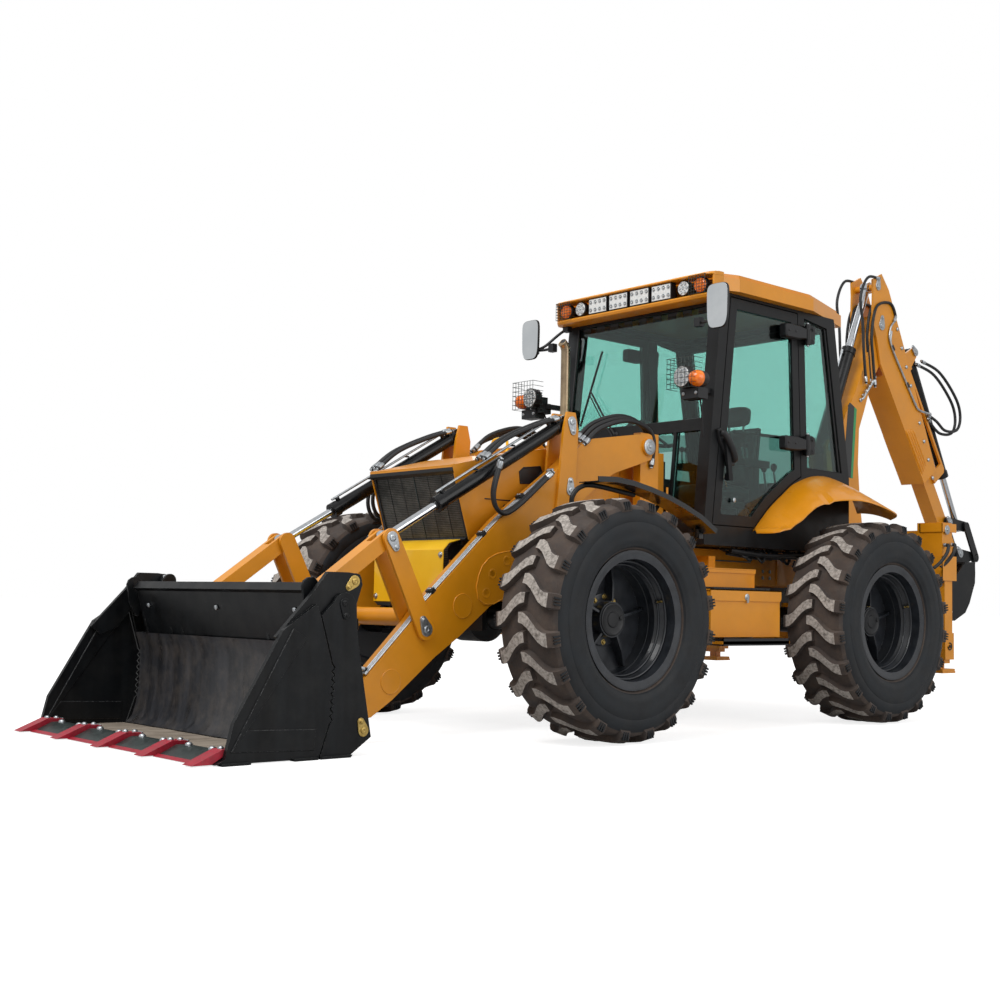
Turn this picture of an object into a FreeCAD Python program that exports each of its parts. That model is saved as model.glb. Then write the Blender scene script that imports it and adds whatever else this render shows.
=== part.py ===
import FreeCAD, Part
import math
import os

# Backhoe loader: rigid frame, four equal wheels, front loader with a clam bucket,
# side-shift backhoe behind the cab.  Millimetres; +X is the machine's left, the
# front faces -Y, Z is up and the tyres stand on Z = 0.  Lengths along Y below are
# measured from the front axle; every piece is placed by front_axle_y.

os.makedirs("parts", exist_ok=True)
doc = FreeCAD.newDocument("backhoe_loader")
sheet = doc.addObject("Spreadsheet::Sheet", "Dims")

SIZES = [
    # name, value, what it is
    ("front_axle_y", -1496.5, "front axle from the middle of the machine"),
    ("wheelbase", 2245.0, "front axle to rear axle"),
    ("wheel_x", 1000.0, "wheel centre plane from the machine's middle"),
    ("tyre_r", 595.0, "tyre outside radius"),
    ("tyre_w", 410.0, "tyre width"),
    ("rim_r", 339.0, "rim flange radius"),
    ("rim_half", 176.0, "half the width over the rim flanges"),
    ("hub_r", 85.0, "hub cap radius"),
    ("stub_r", 40.0, "wheel stub radius"),
    ("run_gap", 0.05, "running clearance of a pin in its hole, radial"),
    ("eye_gap", 1.0, "radial clearance of an eye that is free of its pin"),
    ("seat_gap", 0.3, "gap between bolted faces"),
    ("rail_in", 230.0, "frame rail inner face"),
    ("rail_w", 70.0, "frame rail width"),
    ("rail_z", 700.0, "frame rail underside"),
    ("rail_h", 160.0, "frame rail height"),
    ("frame_front", -430.0, "front end of the rails"),
    ("frame_rear", 3075.0, "rear end of the rails"),
    ("arm_in", 400.0, "loader arm inner face"),
    ("arm_w", 90.0, "loader arm width"),
    ("lever_t", 16.0, "tilt lever plate"),
    ("lever_gap", 4.0, "lever plate to arm face"),
    ("arm_pin_r", 35.0, "loader arm pivot pin"),
    ("link_pin_r", 22.0, "tilt linkage pins"),
    ("lift_bore", 42.0, "lift cylinder barrel radius"),
    ("lift_rod", 26.0, "lift rod radius"),
    ("tilt_bore", 36.0, "tilt cylinder barrel radius"),
    ("tilt_rod", 20.0, "tilt rod radius"),
    ("clam_bore", 30.0, "clam cylinder barrel radius"),
    ("clam_rod", 16.0, "clam rod radius"),
    ("boom_bore", 50.0, "boom cylinder barrel radius"),
    ("boom_rod", 30.0, "boom rod radius"),
    ("dip_bore", 48.0, "dipper cylinder barrel radius"),
    ("dip_rod", 28.0, "dipper rod radius"),
    ("dig_bore", 42.0, "digging bucket cylinder barrel radius"),
    ("dig_rod", 24.0, "digging bucket rod radius"),
    ("bucket_half", 880.0, "half the loader bucket width"),
    ("bucket_t", 16.0, "loader bucket side plate"),
    ("hood_half", 350.0, "half the hood width"),
    ("hood_t", 6.0, "hood skin"),
    ("cab_half", 630.0, "half the cab width over the doors"),
    ("cab_wall", 44.0, "cab wall thickness"),
    ("cab_floor", 1020.0, "cab floor underside"),
    ("cab_top", 2511.0, "top of the cab frame"),
    ("roof_t", 106.0, "roof thickness"),
    ("door_t", 30.0, "door thickness"),
    ("door_gap", 7.0, "gap round a door"),
    ("glass_t", 6.0, "window glass"),
    ("stab_x", 922.0, "stabiliser centre from the machine's middle"),
    ("stab_y", 3172.0, "stabiliser centre behind the front axle"),
    ("stab_w", 150.0, "stabiliser tube width"),
    ("stab_d", 92.0, "stabiliser tube depth"),
    ("stab_wall", 11.0, "stabiliser tube wall"),
    ("leg_gap", 0.5, "leg to tube, each side"),
    ("tie_r", 20.0, "hole of the tie-down lug behind each stabiliser"),
    ("boom_half", 78.0, "half the boom width"),
    ("dipper_t", 16.0, "dipper side plate"),
    ("tube_half", 54.0, "half the sliding dipper width"),
    ("hoe_half", 165.0, "half the digging bucket width"),
]
for row, (alias, value, note) in enumerate(SIZES, start=1):
    sheet.set("A%d" % row, alias)
    sheet.set("B%d" % row, str(value))
    sheet.set("C%d" % row, note)
    sheet.setAlias("B%d" % row, alias)
doc.recompute()


class Size:
    """A length that keeps both its value and the sheet expression behind it."""

    def __init__(self, value, text):
        self.v = float(value)
        self.t = text

    def __add__(self, o):
        o = size(o)
        return Size(self.v + o.v, "(%s + %s)" % (self.t, o.t))

    def __radd__(self, o):
        return size(o) + self

    def __sub__(self, o):
        o = size(o)
        return Size(self.v - o.v, "(%s - %s)" % (self.t, o.t))

    def __rsub__(self, o):
        return size(o) - self

    def __mul__(self, k):
        return Size(self.v * k, "(%s * %s)" % (self.t, repr(float(k))))

    def __rmul__(self, k):
        return self * k

    def __neg__(self):
        return self * -1.0

    def __float__(self):
        return self.v


def size(x):
    return x if isinstance(x, Size) else Size(x, "(%s)" % repr(float(x)))


def D(alias):
    """The sheet's value under this name."""
    return Size(float(sheet.get(alias)), "Dims." + alias)


def bind(obj, prop, value):
    value = size(value)
    if "Dims." in value.t:
        obj.setExpression(prop, value.t)
    elif prop.startswith("Placement.Base."):
        base = obj.Placement.Base
        setattr(base, prop[-1], value.v)
        obj.Placement.Base = base
    else:
        setattr(obj, prop, value.v)


def place(obj, x, y, z, rot=None):
    if rot is not None:
        obj.Placement = FreeCAD.Placement(FreeCAD.Vector(0, 0, 0), rot)
    for axis, value in zip("xyz", (x, y, z)):
        bind(obj, "Placement.Base." + axis, value)
    return obj


# ---- primitives -------------------------------------------------------------

def box(x0, x1, y0, y1, z0, z1):
    b = doc.addObject("Part::Box", "Block")
    bind(b, "Length", size(x1) - x0)
    bind(b, "Width", size(y1) - y0)
    bind(b, "Height", size(z1) - z0)
    return place(b, x0, y0, z0)


def rod_x(x0, x1, y, z, r):
    c = doc.addObject("Part::Cylinder", "PinX")
    bind(c, "Radius", r)
    bind(c, "Height", size(x1) - x0)
    return place(c, x0, y, z, FreeCAD.Rotation(FreeCAD.Vector(0, 1, 0), 90))


def rod_y(y0, y1, x, z, r):
    c = doc.addObject("Part::Cylinder", "PinY")
    bind(c, "Radius", r)
    bind(c, "Height", size(y1) - y0)
    return place(c, x, y0, z, FreeCAD.Rotation(FreeCAD.Vector(1, 0, 0), -90))


def rod_z(z0, z1, x, y, r):
    c = doc.addObject("Part::Cylinder", "PinZ")
    bind(c, "Radius", r)
    bind(c, "Height", size(z1) - z0)
    return place(c, x, y, z0)


def rod_between(p, q, r, x, start=0.0, length=None):
    """A round bar in the plane X = x, from p towards q (both (y, z))."""
    dy, dz = q[0] - p[0], q[1] - p[1]
    full = math.hypot(dy, dz)
    uy, uz = dy / full, dz / full
    c = doc.addObject("Part::Cylinder", "Bar")
    bind(c, "Radius", r)
    c.Height = float((full - start) if length is None else length)
    turn = FreeCAD.Rotation(FreeCAD.Vector(0, 0, 1), FreeCAD.Vector(0, uy, uz))
    return place(c, x, p[0] + uy * start, p[1] + uz * start, turn)


def sketch_on(body, plane, points, shift):
    """A closed outline on one of the body's own planes, moved along its normal."""
    s = body.newObject("Sketcher::SketchObject", "Outline")
    origin = [o for o in body.Origin.OriginFeatures if o.Role == plane][0]
    s.AttachmentSupport = (origin, "")
    s.MapMode = "FlatFace"
    n = len(points)
    for i in range(n):
        a, b = points[i], points[(i + 1) % n]
        s.addGeometry(Part.LineSegment(FreeCAD.Vector(a[0], a[1], 0),
                                       FreeCAD.Vector(b[0], b[1], 0)), False)
    shift = size(shift)
    s.AttachmentOffset = FreeCAD.Placement(FreeCAD.Vector(0, 0, shift.v), FreeCAD.Rotation())
    if "Dims." in shift.t:
        s.setExpression("AttachmentOffset.Base.z", shift.t)
    return s


def pad(plane, points, a, b):
    """An outline padded from a to b along the plane's normal."""
    body = doc.addObject("PartDesign::Body", "Plate")
    s = sketch_on(body, plane, points, a)
    p = body.newObject("PartDesign::Pad", "Pad")
    p.Profile = s
    bind(p, "Length", size(b) - a)
    body.Tip = p
    return body


def side(points, x0, x1):
    """A plate lying in the side view: outline in (y, z), thickness along X."""
    return pad("YZ_Plane", points, x0, x1)


def plan(points, z0, z1):
    """A plate lying in the plan view: outline in (x, y), thickness along Z."""
    return pad("XY_Plane", points, z0, z1)


def spun(points, x, y, z):
    """An outline in (x, radius) turned about an axis along X."""
    body = doc.addObject("PartDesign::Body", "Turned")
    s = sketch_on(body, "XY_Plane", points, 0.0)
    r = body.newObject("PartDesign::Revolution", "Revolution")
    r.Profile = s
    r.ReferenceAxis = (s, ["H_Axis"])
    r.Angle = 360.0
    body.Tip = r
    return place(body, x, y, z)


def fuse(*parts):
    parts = [p for group in parts for p in (group if isinstance(group, list) else [group])]
    if len(parts) == 1:
        return parts[0]
    f = doc.addObject("Part::MultiFuse", "Joined")
    f.Shapes = parts
    f.Refine = True
    return f


def cut(base, *tools):
    c = doc.addObject("Part::Cut", "Trimmed")
    c.Base = base
    c.Tool = fuse(*tools)
    c.Refine = True
    return c


def mirror(part):
    m = doc.addObject("Part::Mirroring", "Opposite")
    m.Source = part
    m.Normal = FreeCAD.Vector(1, 0, 0)
    m.Base = FreeCAD.Vector(0, 0, 0)
    return m


def both(part):
    """The piece and its opposite hand."""
    return [part, mirror(part)]


def group(*parts):
    parts = [p for g in parts for p in (g if isinstance(g, list) else [g])]
    c = doc.addObject("Part::Compound", "Set")
    c.Links = parts
    return c


def oval(p, q, rp, rq, x0, x1):
    """A lever plate: two round ends joined by their tangents."""
    dy, dz = q[0] - p[0], q[1] - p[1]
    full = math.hypot(dy, dz)
    uy, uz = dy / full, dz / full
    ny, nz = -uz, uy
    pts = [(p[0] + ny * rp, p[1] + nz * rp), (q[0] + ny * rq, q[1] + nz * rq),
           (q[0] - ny * rq, q[1] - nz * rq), (p[0] - ny * rp, p[1] - nz * rp)]
    return [side(pts, x0, x1), rod_x(x0, x1, p[0], p[1], rp), rod_x(x0, x1, q[0], q[1], rq)]


def offset_line(points, d):
    """Points moved d to the left of the way they run (open line)."""
    out = []
    n = len(points)
    for i in range(n):
        dirs = []
        for a, b in ((i - 1, i), (i, i + 1)):
            if a >= 0 and b < n:
                ey, ez = points[b][0] - points[a][0], points[b][1] - points[a][1]
                m = math.hypot(ey, ez)
                dirs.append((-ez / m, ey / m))
        if len(dirs) == 1:
            ny, nz = dirs[0]
            k = d
        else:
            ny, nz = dirs[0][0] + dirs[1][0], dirs[0][1] + dirs[1][1]
            m = math.hypot(ny, nz)
            ny, nz = ny / m, nz / m
            k = d / max(0.35, ny * dirs[0][0] + nz * dirs[0][1])
        out.append((points[i][0] + ny * k, points[i][1] + nz * k))
    return out


def strip(points, thickness):
    """A bent sheet: the line and its offset, closed."""
    return points + offset_line(points, thickness)[::-1]


def inset(points, d):
    """A closed outline drawn in by d (outline runs anticlockwise)."""
    n = len(points)
    ring = [points[-1]] + points + [points[0]]
    return offset_line(ring, d)[1:n + 1]


def turned(p, c, deg):
    """Point p turned about c by deg in the side view (y towards z)."""
    a = math.radians(deg)
    y, z = p[0] - c[0], p[1] - c[1]
    return (c[0] + y * math.cos(a) - z * math.sin(a), c[1] + y * math.sin(a) + z * math.cos(a))


def gap(p, q):
    return math.hypot(p[0] - q[0], p[1] - q[1])


nodes = []


def node(label, part):
    part.Label = label
    bind(part, "Placement.Base.y", D("front_axle_y"))
    nodes.append(part)
    return part


def cylinder_pair(base, tip, shortest, longest, bore, rod, x, eye_w, base_r, tip_r, pin_r,
                  tip_pin_r):
    """Barrel (pinned at base) and rod (eye free of its pin at tip) in the plane X = x."""
    barrel_len = shortest - tip_r - 22.0
    rod_len = shortest - base_r - 25.0
    now = gap(base, tip)
    half = eye_w / 2.0
    xx = size(x)
    wide = max(half, float(size(bore)) + 8.0)
    b = fuse(rod_between(base, tip, bore, xx, base_r * 0.55, barrel_len - base_r * 0.55),
             rod_between(base, tip, size(bore) + 6.0, xx, barrel_len - 46.0, 46.0),
             rod_x(xx - half, xx + half, base[0], base[1], base_r))
    b = cut(b,
            rod_between(base, tip, size(rod) + D("run_gap"), xx, base_r + 18.0,
                        barrel_len - base_r),
            rod_x(xx - wide, xx + wide, base[0], base[1], size(pin_r) + D("run_gap")))
    r = fuse(rod_between(tip, base, rod, xx, tip_r * 0.5, rod_len - tip_r * 0.5),
             rod_x(xx - half, xx + half, tip[0], tip[1], tip_r))
    r = cut(r, rod_x(xx - wide, xx + wide, tip[0], tip[1], size(tip_pin_r) + D("eye_gap")))
    assert now - rod_len > base_r + 19.0 - 60.0 and longest - rod_len < barrel_len - 40.0
    return b, r


# ---- key points, (y, z) -----------------------------------------------------

ARM_PIVOT = (837.0, 1559.0)
BUCKET_PIN = (-1270.0, 165.0)
LEVER_PIN = (-754.0, 531.0)
LEVER_TOP = (-976.0, 964.0)
LINK_PIN = (BUCKET_PIN[0] + LEVER_TOP[0] - LEVER_PIN[0],
            BUCKET_PIN[1] + LEVER_TOP[1] - LEVER_PIN[1])
TILT_BASE = (212.0, 1637.0)
LIFT_TIP = (-225.0, 735.0)
LIFT_BASE = (900.0, 830.0)
CLAM_PIN = (-1500.0, 640.0)
CLAM_TIP = (-1436.0, 749.0)
CLAM_BASE = (-1390.0, 122.0)
LIFT_MAX = 75.0
TILT_BACK, TILT_DUMP = 40.0, -75.0
CLAM_OPEN = 60.0

SWING_Y = 3400.0
BOOM_FOOT = (3640.0, 600.0)
BOOM_RAM_BASE = (3460.0, 800.0)
BOOM_RAM_TIP = (3220.0, 1550.0)
DIPPER_PIN = (3805.0, 2750.0)
DIPPER_RAM_BASE = (3190.0, 1800.0)
DIG_PIN = (4900.0, 1115.0)
_reach = gap(DIPPER_PIN, DIG_PIN)
_uy, _uz = (DIG_PIN[0] - DIPPER_PIN[0]) / _reach, (DIG_PIN[1] - DIPPER_PIN[1]) / _reach


def dp(a, o):
    """Dipper coordinates: a along from the dipper pin, o outwards (rear and up)."""
    return (DIPPER_PIN[0] + a * _uy - o * _uz, DIPPER_PIN[1] + a * _uz + o * _uy)


DIPPER_RAM_TIP = dp(-262.0, 118.0)
ROCKER_PIN = dp(_reach - 275.0, 16.4)
ROCKER_TIP = dp(_reach - 115.0, 212.6)
DIG_LINK_PIN = dp(_reach + 160.0, 196.2)
DIG_RAM_BASE = dp(385.0, 340.0)
BOOM_DOWN, BOOM_UP = -115.0, 2.0
DIPPER_OUT, DIPPER_IN = 110.0, -4.0
DIG_OPEN, DIG_CURL = 105.0, -3.0

AXLE_Z = D("tyre_r")
REAR = D("wheelbase")
zc = float(AXLE_Z)

# ---- chassis ----------------------------------------------------------------

rail_out = D("rail_in") + D("rail_w")
rail_top = D("rail_z") + D("rail_h")


def frame_rail():
    outer = box(D("rail_in"), rail_out, D("frame_front"), D("frame_rear"), D("rail_z"), rail_top)
    inner = box(D("rail_in") + 8, rail_out - 8, D("frame_front") - 5, D("frame_rear") - 20,
                D("rail_z") + 8, rail_top - 8)
    return cut(outer, inner)


chassis = [frame_rail()]
chassis += [mirror(chassis[0])]
chassis += [box(-rail_out, rail_out, D("frame_front") - 18, D("frame_front"), 640, rail_top + 20)]
for y in (820.0, 1500.0, 2880.0):
    chassis += [box(-D("rail_in"), D("rail_in"), y, y + 90, D("rail_z") + 10, rail_top - 10)]
# front axle hanger plates with the trunnion holes
for y in (-215.0, 185.0):
    chassis += [cut(box(-rail_out, rail_out, y, y + 30, zc - 75, D("rail_z")),
                    rod_y(y - 5, y + 35, 0, AXLE_Z, 50 + D("run_gap")))]
# cab deck rails and their feet on the frame
deck = cut(box(rail_out, 400, 990, 2560, 800, 1010), box(rail_out + 8, 392, 985, 2565, 808, 1002))
chassis += both(deck)
for y in (1000.0, 1700.0, 2440.0):
    chassis += [box(-rail_out - 5, rail_out + 5, y + 10, y + 90, 930, 990)]
# rear axle saddles
chassis += both(box(D("rail_in"), rail_out, REAR - 90, REAR + 90, 674, D("rail_z")))
node("chassis_frame", fuse(chassis))

# loader towers: lower clevis for the lift cylinder, upper post inside the arm's fork


def tower():
    low_in = side([(800, 640), (985, 640), (985, 1100), (800, 1100), (840, 900)], 380, 398)
    low_out = side([(800, 640), (985, 640), (985, 1100), (800, 1100), (840, 900)], 492, 510)
    shelf = box(380, 510, 800, 985, 1060, 1100)
    floor = box(rail_out, 510, 800, 985, 640, 664)
    web = box(rail_out, 380, 850, 880, 664, 880)
    web2 = box(rail_out, 398, 950, 975, 664, 900)
    post = box(418, 472, 795, 945, 1060, 1640)
    hole = rod_x(410, 480, ARM_PIVOT[0], ARM_PIVOT[1], D("arm_pin_r"))
    pin = rod_x(401, 489, ARM_PIVOT[0], ARM_PIVOT[1], D("arm_pin_r"))
    base_pin = rod_x(380, 510, LIFT_BASE[0], LIFT_BASE[1], 24)
    return fuse(low_in, low_out, shelf, floor, web, web2, post, hole, pin, base_pin)


left_tower = tower()
node("loader_towers", group(both(left_tower)))

# ---- axles ------------------------------------------------------------------


def bowl_at(y):
    return spun([(-165, 0), (-165, 75), (-95, 140), (95, 140), (165, 75), (165, 0)], 0, y, AXLE_Z)


def front_axle():
    parts = [rod_x(-672, 672, 0, AXLE_Z, 70), bowl_at(0),
             rod_y(-215, 215, 0, AXLE_Z, 50)]
    for s in both(box(655, 690, -60, 60, AXLE_Z - 118, AXLE_Z + 118)):
        parts.append(s)
    ears = fuse(box(685, 780, -48, 48, AXLE_Z + 92, AXLE_Z + 118),
                box(685, 780, -48, 48, AXLE_Z - 118, AXLE_Z - 92))
    ears = cut(ears, rod_z(AXLE_Z - 130, AXLE_Z + 130, 740, 0, 22 + D("run_gap")))
    parts += both(ears)
    steer = [rod_x(-260, 260, 120, AXLE_Z - 62, 32), rod_x(-330, 330, 120, AXLE_Z - 62, 16)]
    steer += both(box(180, 205, 20, 120, AXLE_Z - 78, AXLE_Z - 44))
    return fuse(parts, steer)


node("front_axle", front_axle())
rear_axle = fuse(rod_x(-605, 605, REAR, AXLE_Z, 78), bowl_at(REAR),
                 both(box(D("rail_in") - 10, rail_out + 10, REAR - 80, REAR + 80, AXLE_Z - 60,
                          674 - D("seat_gap"))),
                 both(rod_x(600, 930, REAR, AXLE_Z, 120)),
                 both(rod_x(930, 990, REAR, AXLE_Z, D("stub_r"))))
node("rear_axle", rear_axle)


def knuckle():
    return fuse(rod_z(AXLE_Z - 91, AXLE_Z + 91, 740, 0, 44),
                rod_z(AXLE_Z - 112, AXLE_Z + 112, 740, 0, 22),
                rod_x(740, 930, 0, AXLE_Z, 80), rod_x(800, 930, 0, AXLE_Z, 118),
                rod_x(930, 990, 0, AXLE_Z, D("stub_r")),
                box(760, 800, 60, 200, AXLE_Z - 50, AXLE_Z - 25))


left_knuckle = knuckle()
node("knuckle_left", left_knuckle)
node("knuckle_right", mirror(knuckle()))

# ---- wheels: outlines in (x, radius) from the wheel's middle, outside is +x ---
w, rr, fr = float(D("tyre_w")) / 2.0, float(D("tyre_r")), float(D("rim_r"))
hw = float(D("rim_half"))
seat_r = fr - 33.0
bead = seat_r + float(D("seat_gap"))
tyre_line = [(-hw + 14, bead), (-hw + 12, fr + 4), (-hw - 10, fr + 20), (-w, fr + 95), (-w + 3, rr - 90),
             (-w + 22, rr - 34), (-w + 60, rr - 6), (-70, rr), (70, rr), (w - 60, rr - 6),
             (w - 22, rr - 34), (w - 3, rr - 90), (w, fr + 95), (hw + 10, fr + 20),
             (hw - 12, fr + 4), (hw - 14, bead), (hw - 44, bead), (hw - 40, fr + 20),
             (w - 22, fr + 100), (w - 26, rr - 95), (w - 60, rr - 50), (0, rr - 42),
             (-w + 60, rr - 50), (-w + 26, rr - 95), (-w + 22, fr + 100), (-hw + 40, fr + 20),
             (-hw + 44, bead)]
rim_line = [(-hw, fr), (-hw + 10, fr), (-hw + 12, seat_r), (-hw + 60, seat_r - 2), (-80, 276),
            (60, 276), (hw - 64, seat_r - 2), (hw - 12, seat_r), (hw - 10, fr), (hw, fr),
            (hw, fr - 9), (hw - 4, seat_r - 10), (hw - 66, seat_r - 12), (62, 266),
            (-46, 266), (-46, 86), (-60, 86), (-60, 266), (-82, 266), (-hw + 62, seat_r - 12),
            (-hw + 4, seat_r - 10), (-hw, fr - 9)]


def wheel(name, sx, y):
    t = spun([(p[0] * sx, p[1]) for p in tyre_line], D("wheel_x") * sx, y, AXLE_Z)
    r = spun([(p[0] * sx, p[1]) for p in rim_line], D("wheel_x") * sx, y, AXLE_Z)
    lo, hi = (932.0, 1024.0) if sx > 0 else (-1024.0, -932.0)
    hub = rod_x(lo, hi, y, AXLE_Z, D("hub_r") + 3)
    bore = rod_x(lo - 5, lo + 70, y, AXLE_Z, D("stub_r") + D("run_gap")) if sx > 0 else \
        rod_x(hi - 70, hi + 5, y, AXLE_Z, D("stub_r") + D("run_gap"))
    node("tyre_" + name, fuse(t))
    # the tyre is placed by its own centre, so only the frame shift is added
    place(t, D("wheel_x") * sx, D("front_axle_y") + y, AXLE_Z)
    node("rim_" + name, cut(fuse(r, hub), bore))


for name, sx, y in (("front_left", 1, size(0)), ("front_right", -1, size(0)),
                    ("rear_left", 1, REAR), ("rear_right", -1, REAR)):
    wheel(name, sx, y)

# ---- engine, hood, grille, nose, cowl -----------------------------------------
engine_block = fuse(box(-225, 225, -150, 650, rail_top + D("seat_gap"), 1235),
                    *[both(box(220, rail_out - 10, y, y + 80, rail_top + D("seat_gap"), 900))
                      for y in (20, 440)])

hh = D("hood_half")
ht = float(D("hood_t"))
hood_out = [(-483, 1361), (-360, 985), (755, 985), (755, 1562), (350, 1530), (-100, 1455)]
hood_in = [(-520, 1361 - ht - 12), (-520, 900), (800, 900), (800, 1556), (350, 1524),
           (-100, 1449), (-476, 1355)]
hood = cut(side(hood_out, -hh, hh), side(hood_in, -hh + ht, hh - ht))
HOOD_HINGE = (768.0, 1580.0)


def hood_lug():
    arm = side([(690, 1549), (755, 1556), (768, 1566.2), (768, 1594), (745, 1592), (690, 1566)], 272, 292)
    lug = fuse(arm, rod_x(272, 292, HOOD_HINGE[0], HOOD_HINGE[1], 14))
    return cut(lug, rod_x(270, 294, HOOD_HINGE[0], HOOD_HINGE[1], 8 + D("run_gap")))


node("hood", fuse(hood, both(hood_lug())))
grille = side([(-462, 1340), (-352, 982), (-332, 982), (-442, 1340)], -hh + 14, hh - 14)
grille_feet = both(box(240, 270, -345, -250, 960, 1000))
front_grille = fuse(grille, grille_feet, both(box(240, 270, -280, -250, rail_top + D("seat_gap"), 1000)))
nose = side([(-448.3, 640), (-448.3, 940), (-425, 966), (-440, 966), (-476, 930), (-476, 660)], -290, 290)
node("front_panels", group(front_grille, nose))
cowl = cut(box(-345, 345, 765, 1135, 1010.3, 1556), box(-339, 339, 760, 1129, 1016, 1550))
cowl = fuse(cowl, both(box(300.5, 339, 1000, 1080, 1010.3, 1030)))
cowl = cut(cowl, rod_z(1500, 1600, -200, 850, 45))
for lug in both(fuse(side([(768, 1550), (830, 1550), (830, 1562), (780, 1592), (768, 1594), (756, 1588),
                          (752, 1580), (760, 1568)], 296, 314),
                     rod_x(264, 314, HOOD_HINGE[0], HOOD_HINGE[1], 8))):
    cowl = fuse(cowl, lug)
node("cowl", cowl)
exhaust = fuse(rod_z(1236, 2190, -200, 850, 26), rod_z(1300, 1480, -200, 850, 60))
bend = doc.addObject("Part::Torus", "Bend")
bend.Radius1, bend.Radius2 = 60.0, 26.0
bend.Angle3 = 60.0
place(bend, -200, 790, 2190, FreeCAD.Rotation(FreeCAD.Vector(1, 1, 1), 120))
stack_foot = box(-260, -140, 600, 882, 1225, 1262)
node("engine", fuse(engine_block, exhaust, bend, stack_foot))

# ---- cab ----------------------------------------------------------------------
ch = D("cab_half")
ct = float(D("cab_top"))
cf = float(D("cab_floor"))
wall = float(D("cab_wall"))
cab_side = [(1165, cf), (2600, cf), (2600, 1500), (2430, ct), (1310, ct), (1165, 1140)]
door_line = [(1241, 1140), (1625, 1140), (1685, 1202), (1779, 1285), (1900, 1369), (2008, 1440), (2083, 1478),
             (2040, 2487), (1394, 2487)]
quarter = [(2150, 1530), (2520, 1530), (2352, 2440), (2112, 2470)]


def cab_panel():
    gapd = float(D("door_gap"))
    hole = inset(door_line, -gapd)
    lip = inset(door_line, 16.0)
    outer = cut(side(cab_side, ch - wall, ch), side(hole, ch - D("door_t") - 4, ch + 5),
                side(lip, ch - wall - 5, ch + 5), side(quarter, ch - wall - 5, ch + 5))
    return outer


front_strip = [(1165, cf), (1205, cf), (1205, 1140), (1350, ct), (1310, ct), (1165, 1140)]
rear_strip = [(2560, cf), (2600, cf), (2600, 1500), (2430, ct), (2390, ct), (2560, 1490)]
ci = ch - wall
front_wall = cut(side(front_strip, -ci, ci), box(-ci + 40, ci - 40, 1100, 1400, 1760, 2440),
                 both(box(365, ci - 40, 1100, 1400, 1180, 1690)),
                 box(-345, 345, 1100, 1400, 1300, 1690))
rear_wall = cut(side(rear_strip, -ci, ci), box(-ci + 50, ci - 50, 2380, 2700, 1500, 2430))
floor = box(-ci, ci, 1165, 2600, cf, cf + 40)
DOOR_AXIS = (660.0, 2100.0)


def hinge_pins():
    """Hinge brackets and pins that stay on the cab."""
    out = []
    for z in (1640.0, 2330.0):
        pin = rod_z(z - 24, z + 86, DOOR_AXIS[0], DOOR_AXIS[1], 9)
        low = box(ch - 6, DOOR_AXIS[0] + 20, DOOR_AXIS[1] - 4, DOOR_AXIS[1] + 40, z - 26, z - 6)
        top = box(ch - 6, DOOR_AXIS[0] + 20, DOOR_AXIS[1] - 4, DOOR_AXIS[1] + 40, z + 68, z + 88)
        out.append(fuse(pin, low, top))
    return out


left_panel = cab_panel()
lower_hinge, upper_hinge = [both(h) for h in hinge_pins()]
cab = fuse(left_panel, mirror(left_panel), lower_hinge, upper_hinge, front_wall, rear_wall, floor,
           box(-ci, ci, 1310, 2430, ct - 40, ct),
           both(box(330, 400, 1200, 1300, 1010 + D("seat_gap"), cf)),
           both(box(330, 400, 2450, 2550, 1010 + D("seat_gap"), cf)))
cab_hollow = box(-ci + 60, ci - 60, 1420, 2340, ct - 50, ct + 5)
node("cab_frame", cut(cab, cab_hollow))

rt = float(D("roof_t"))
roof_plan = [(-650, 1296), (650, 1296), (688, 1400), (688, 2130), (520, 2670), (-520, 2670),
             (-688, 2130), (-688, 1400)]
roof_low = plan(roof_plan, D("cab_top") + D("seat_gap"), D("cab_top") + 78)
roof_up = plan([(x * 0.965, 1983 + (y - 1983) * 0.965) for x, y in roof_plan], D("cab_top") + 70,
               D("cab_top") + D("roof_t"))
node("cab_roof", fuse(roof_low, roof_up))

# glass panes, each a little inside its frame
gt = D("glass_t")


def pane_front(x0, x1, z0, z1):
    lean = lambda z: 1165 + (z - 1140) * (145.0 / (ct - 1140))
    m = 16.3
    return side([(lean(z0) + m, z0), (lean(z0) + m + 6, z0), (lean(z1) + m + 6, z1),
                 (lean(z1) + m, z1)], x0, x1)


g = 0.3
panes = [pane_front(-ci + 40 + g, ci - 40 - g, 1760 + g, 2440 - g)]
panes += both(pane_front(365 + g, ci - 40 - g, 1180 + g, 1690 - g))
panes += [pane_front(-345 + g, 345 - g, 1580, 1690 - g)]
panes += both(side(inset(quarter, g), ch - 26, ch - 26 + gt))
back = lambda z: 2600 - (z - 1500) * (170.0 / (ct - 1500)) - 22
panes += [side([(back(1500 + g), 1500 + g), (back(1500 + g) + 6, 1500 + g),
                (back(2430 - g) + 6, 2430 - g), (back(2430 - g), 2430 - g)],
               -ci + 50 + g, ci - 50 - g)]
node("cab_glass", group(panes))

# doors: frame with the window cut through, hinge blocks at the rear edge
door_window = inset(door_line, 62.0)


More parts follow.
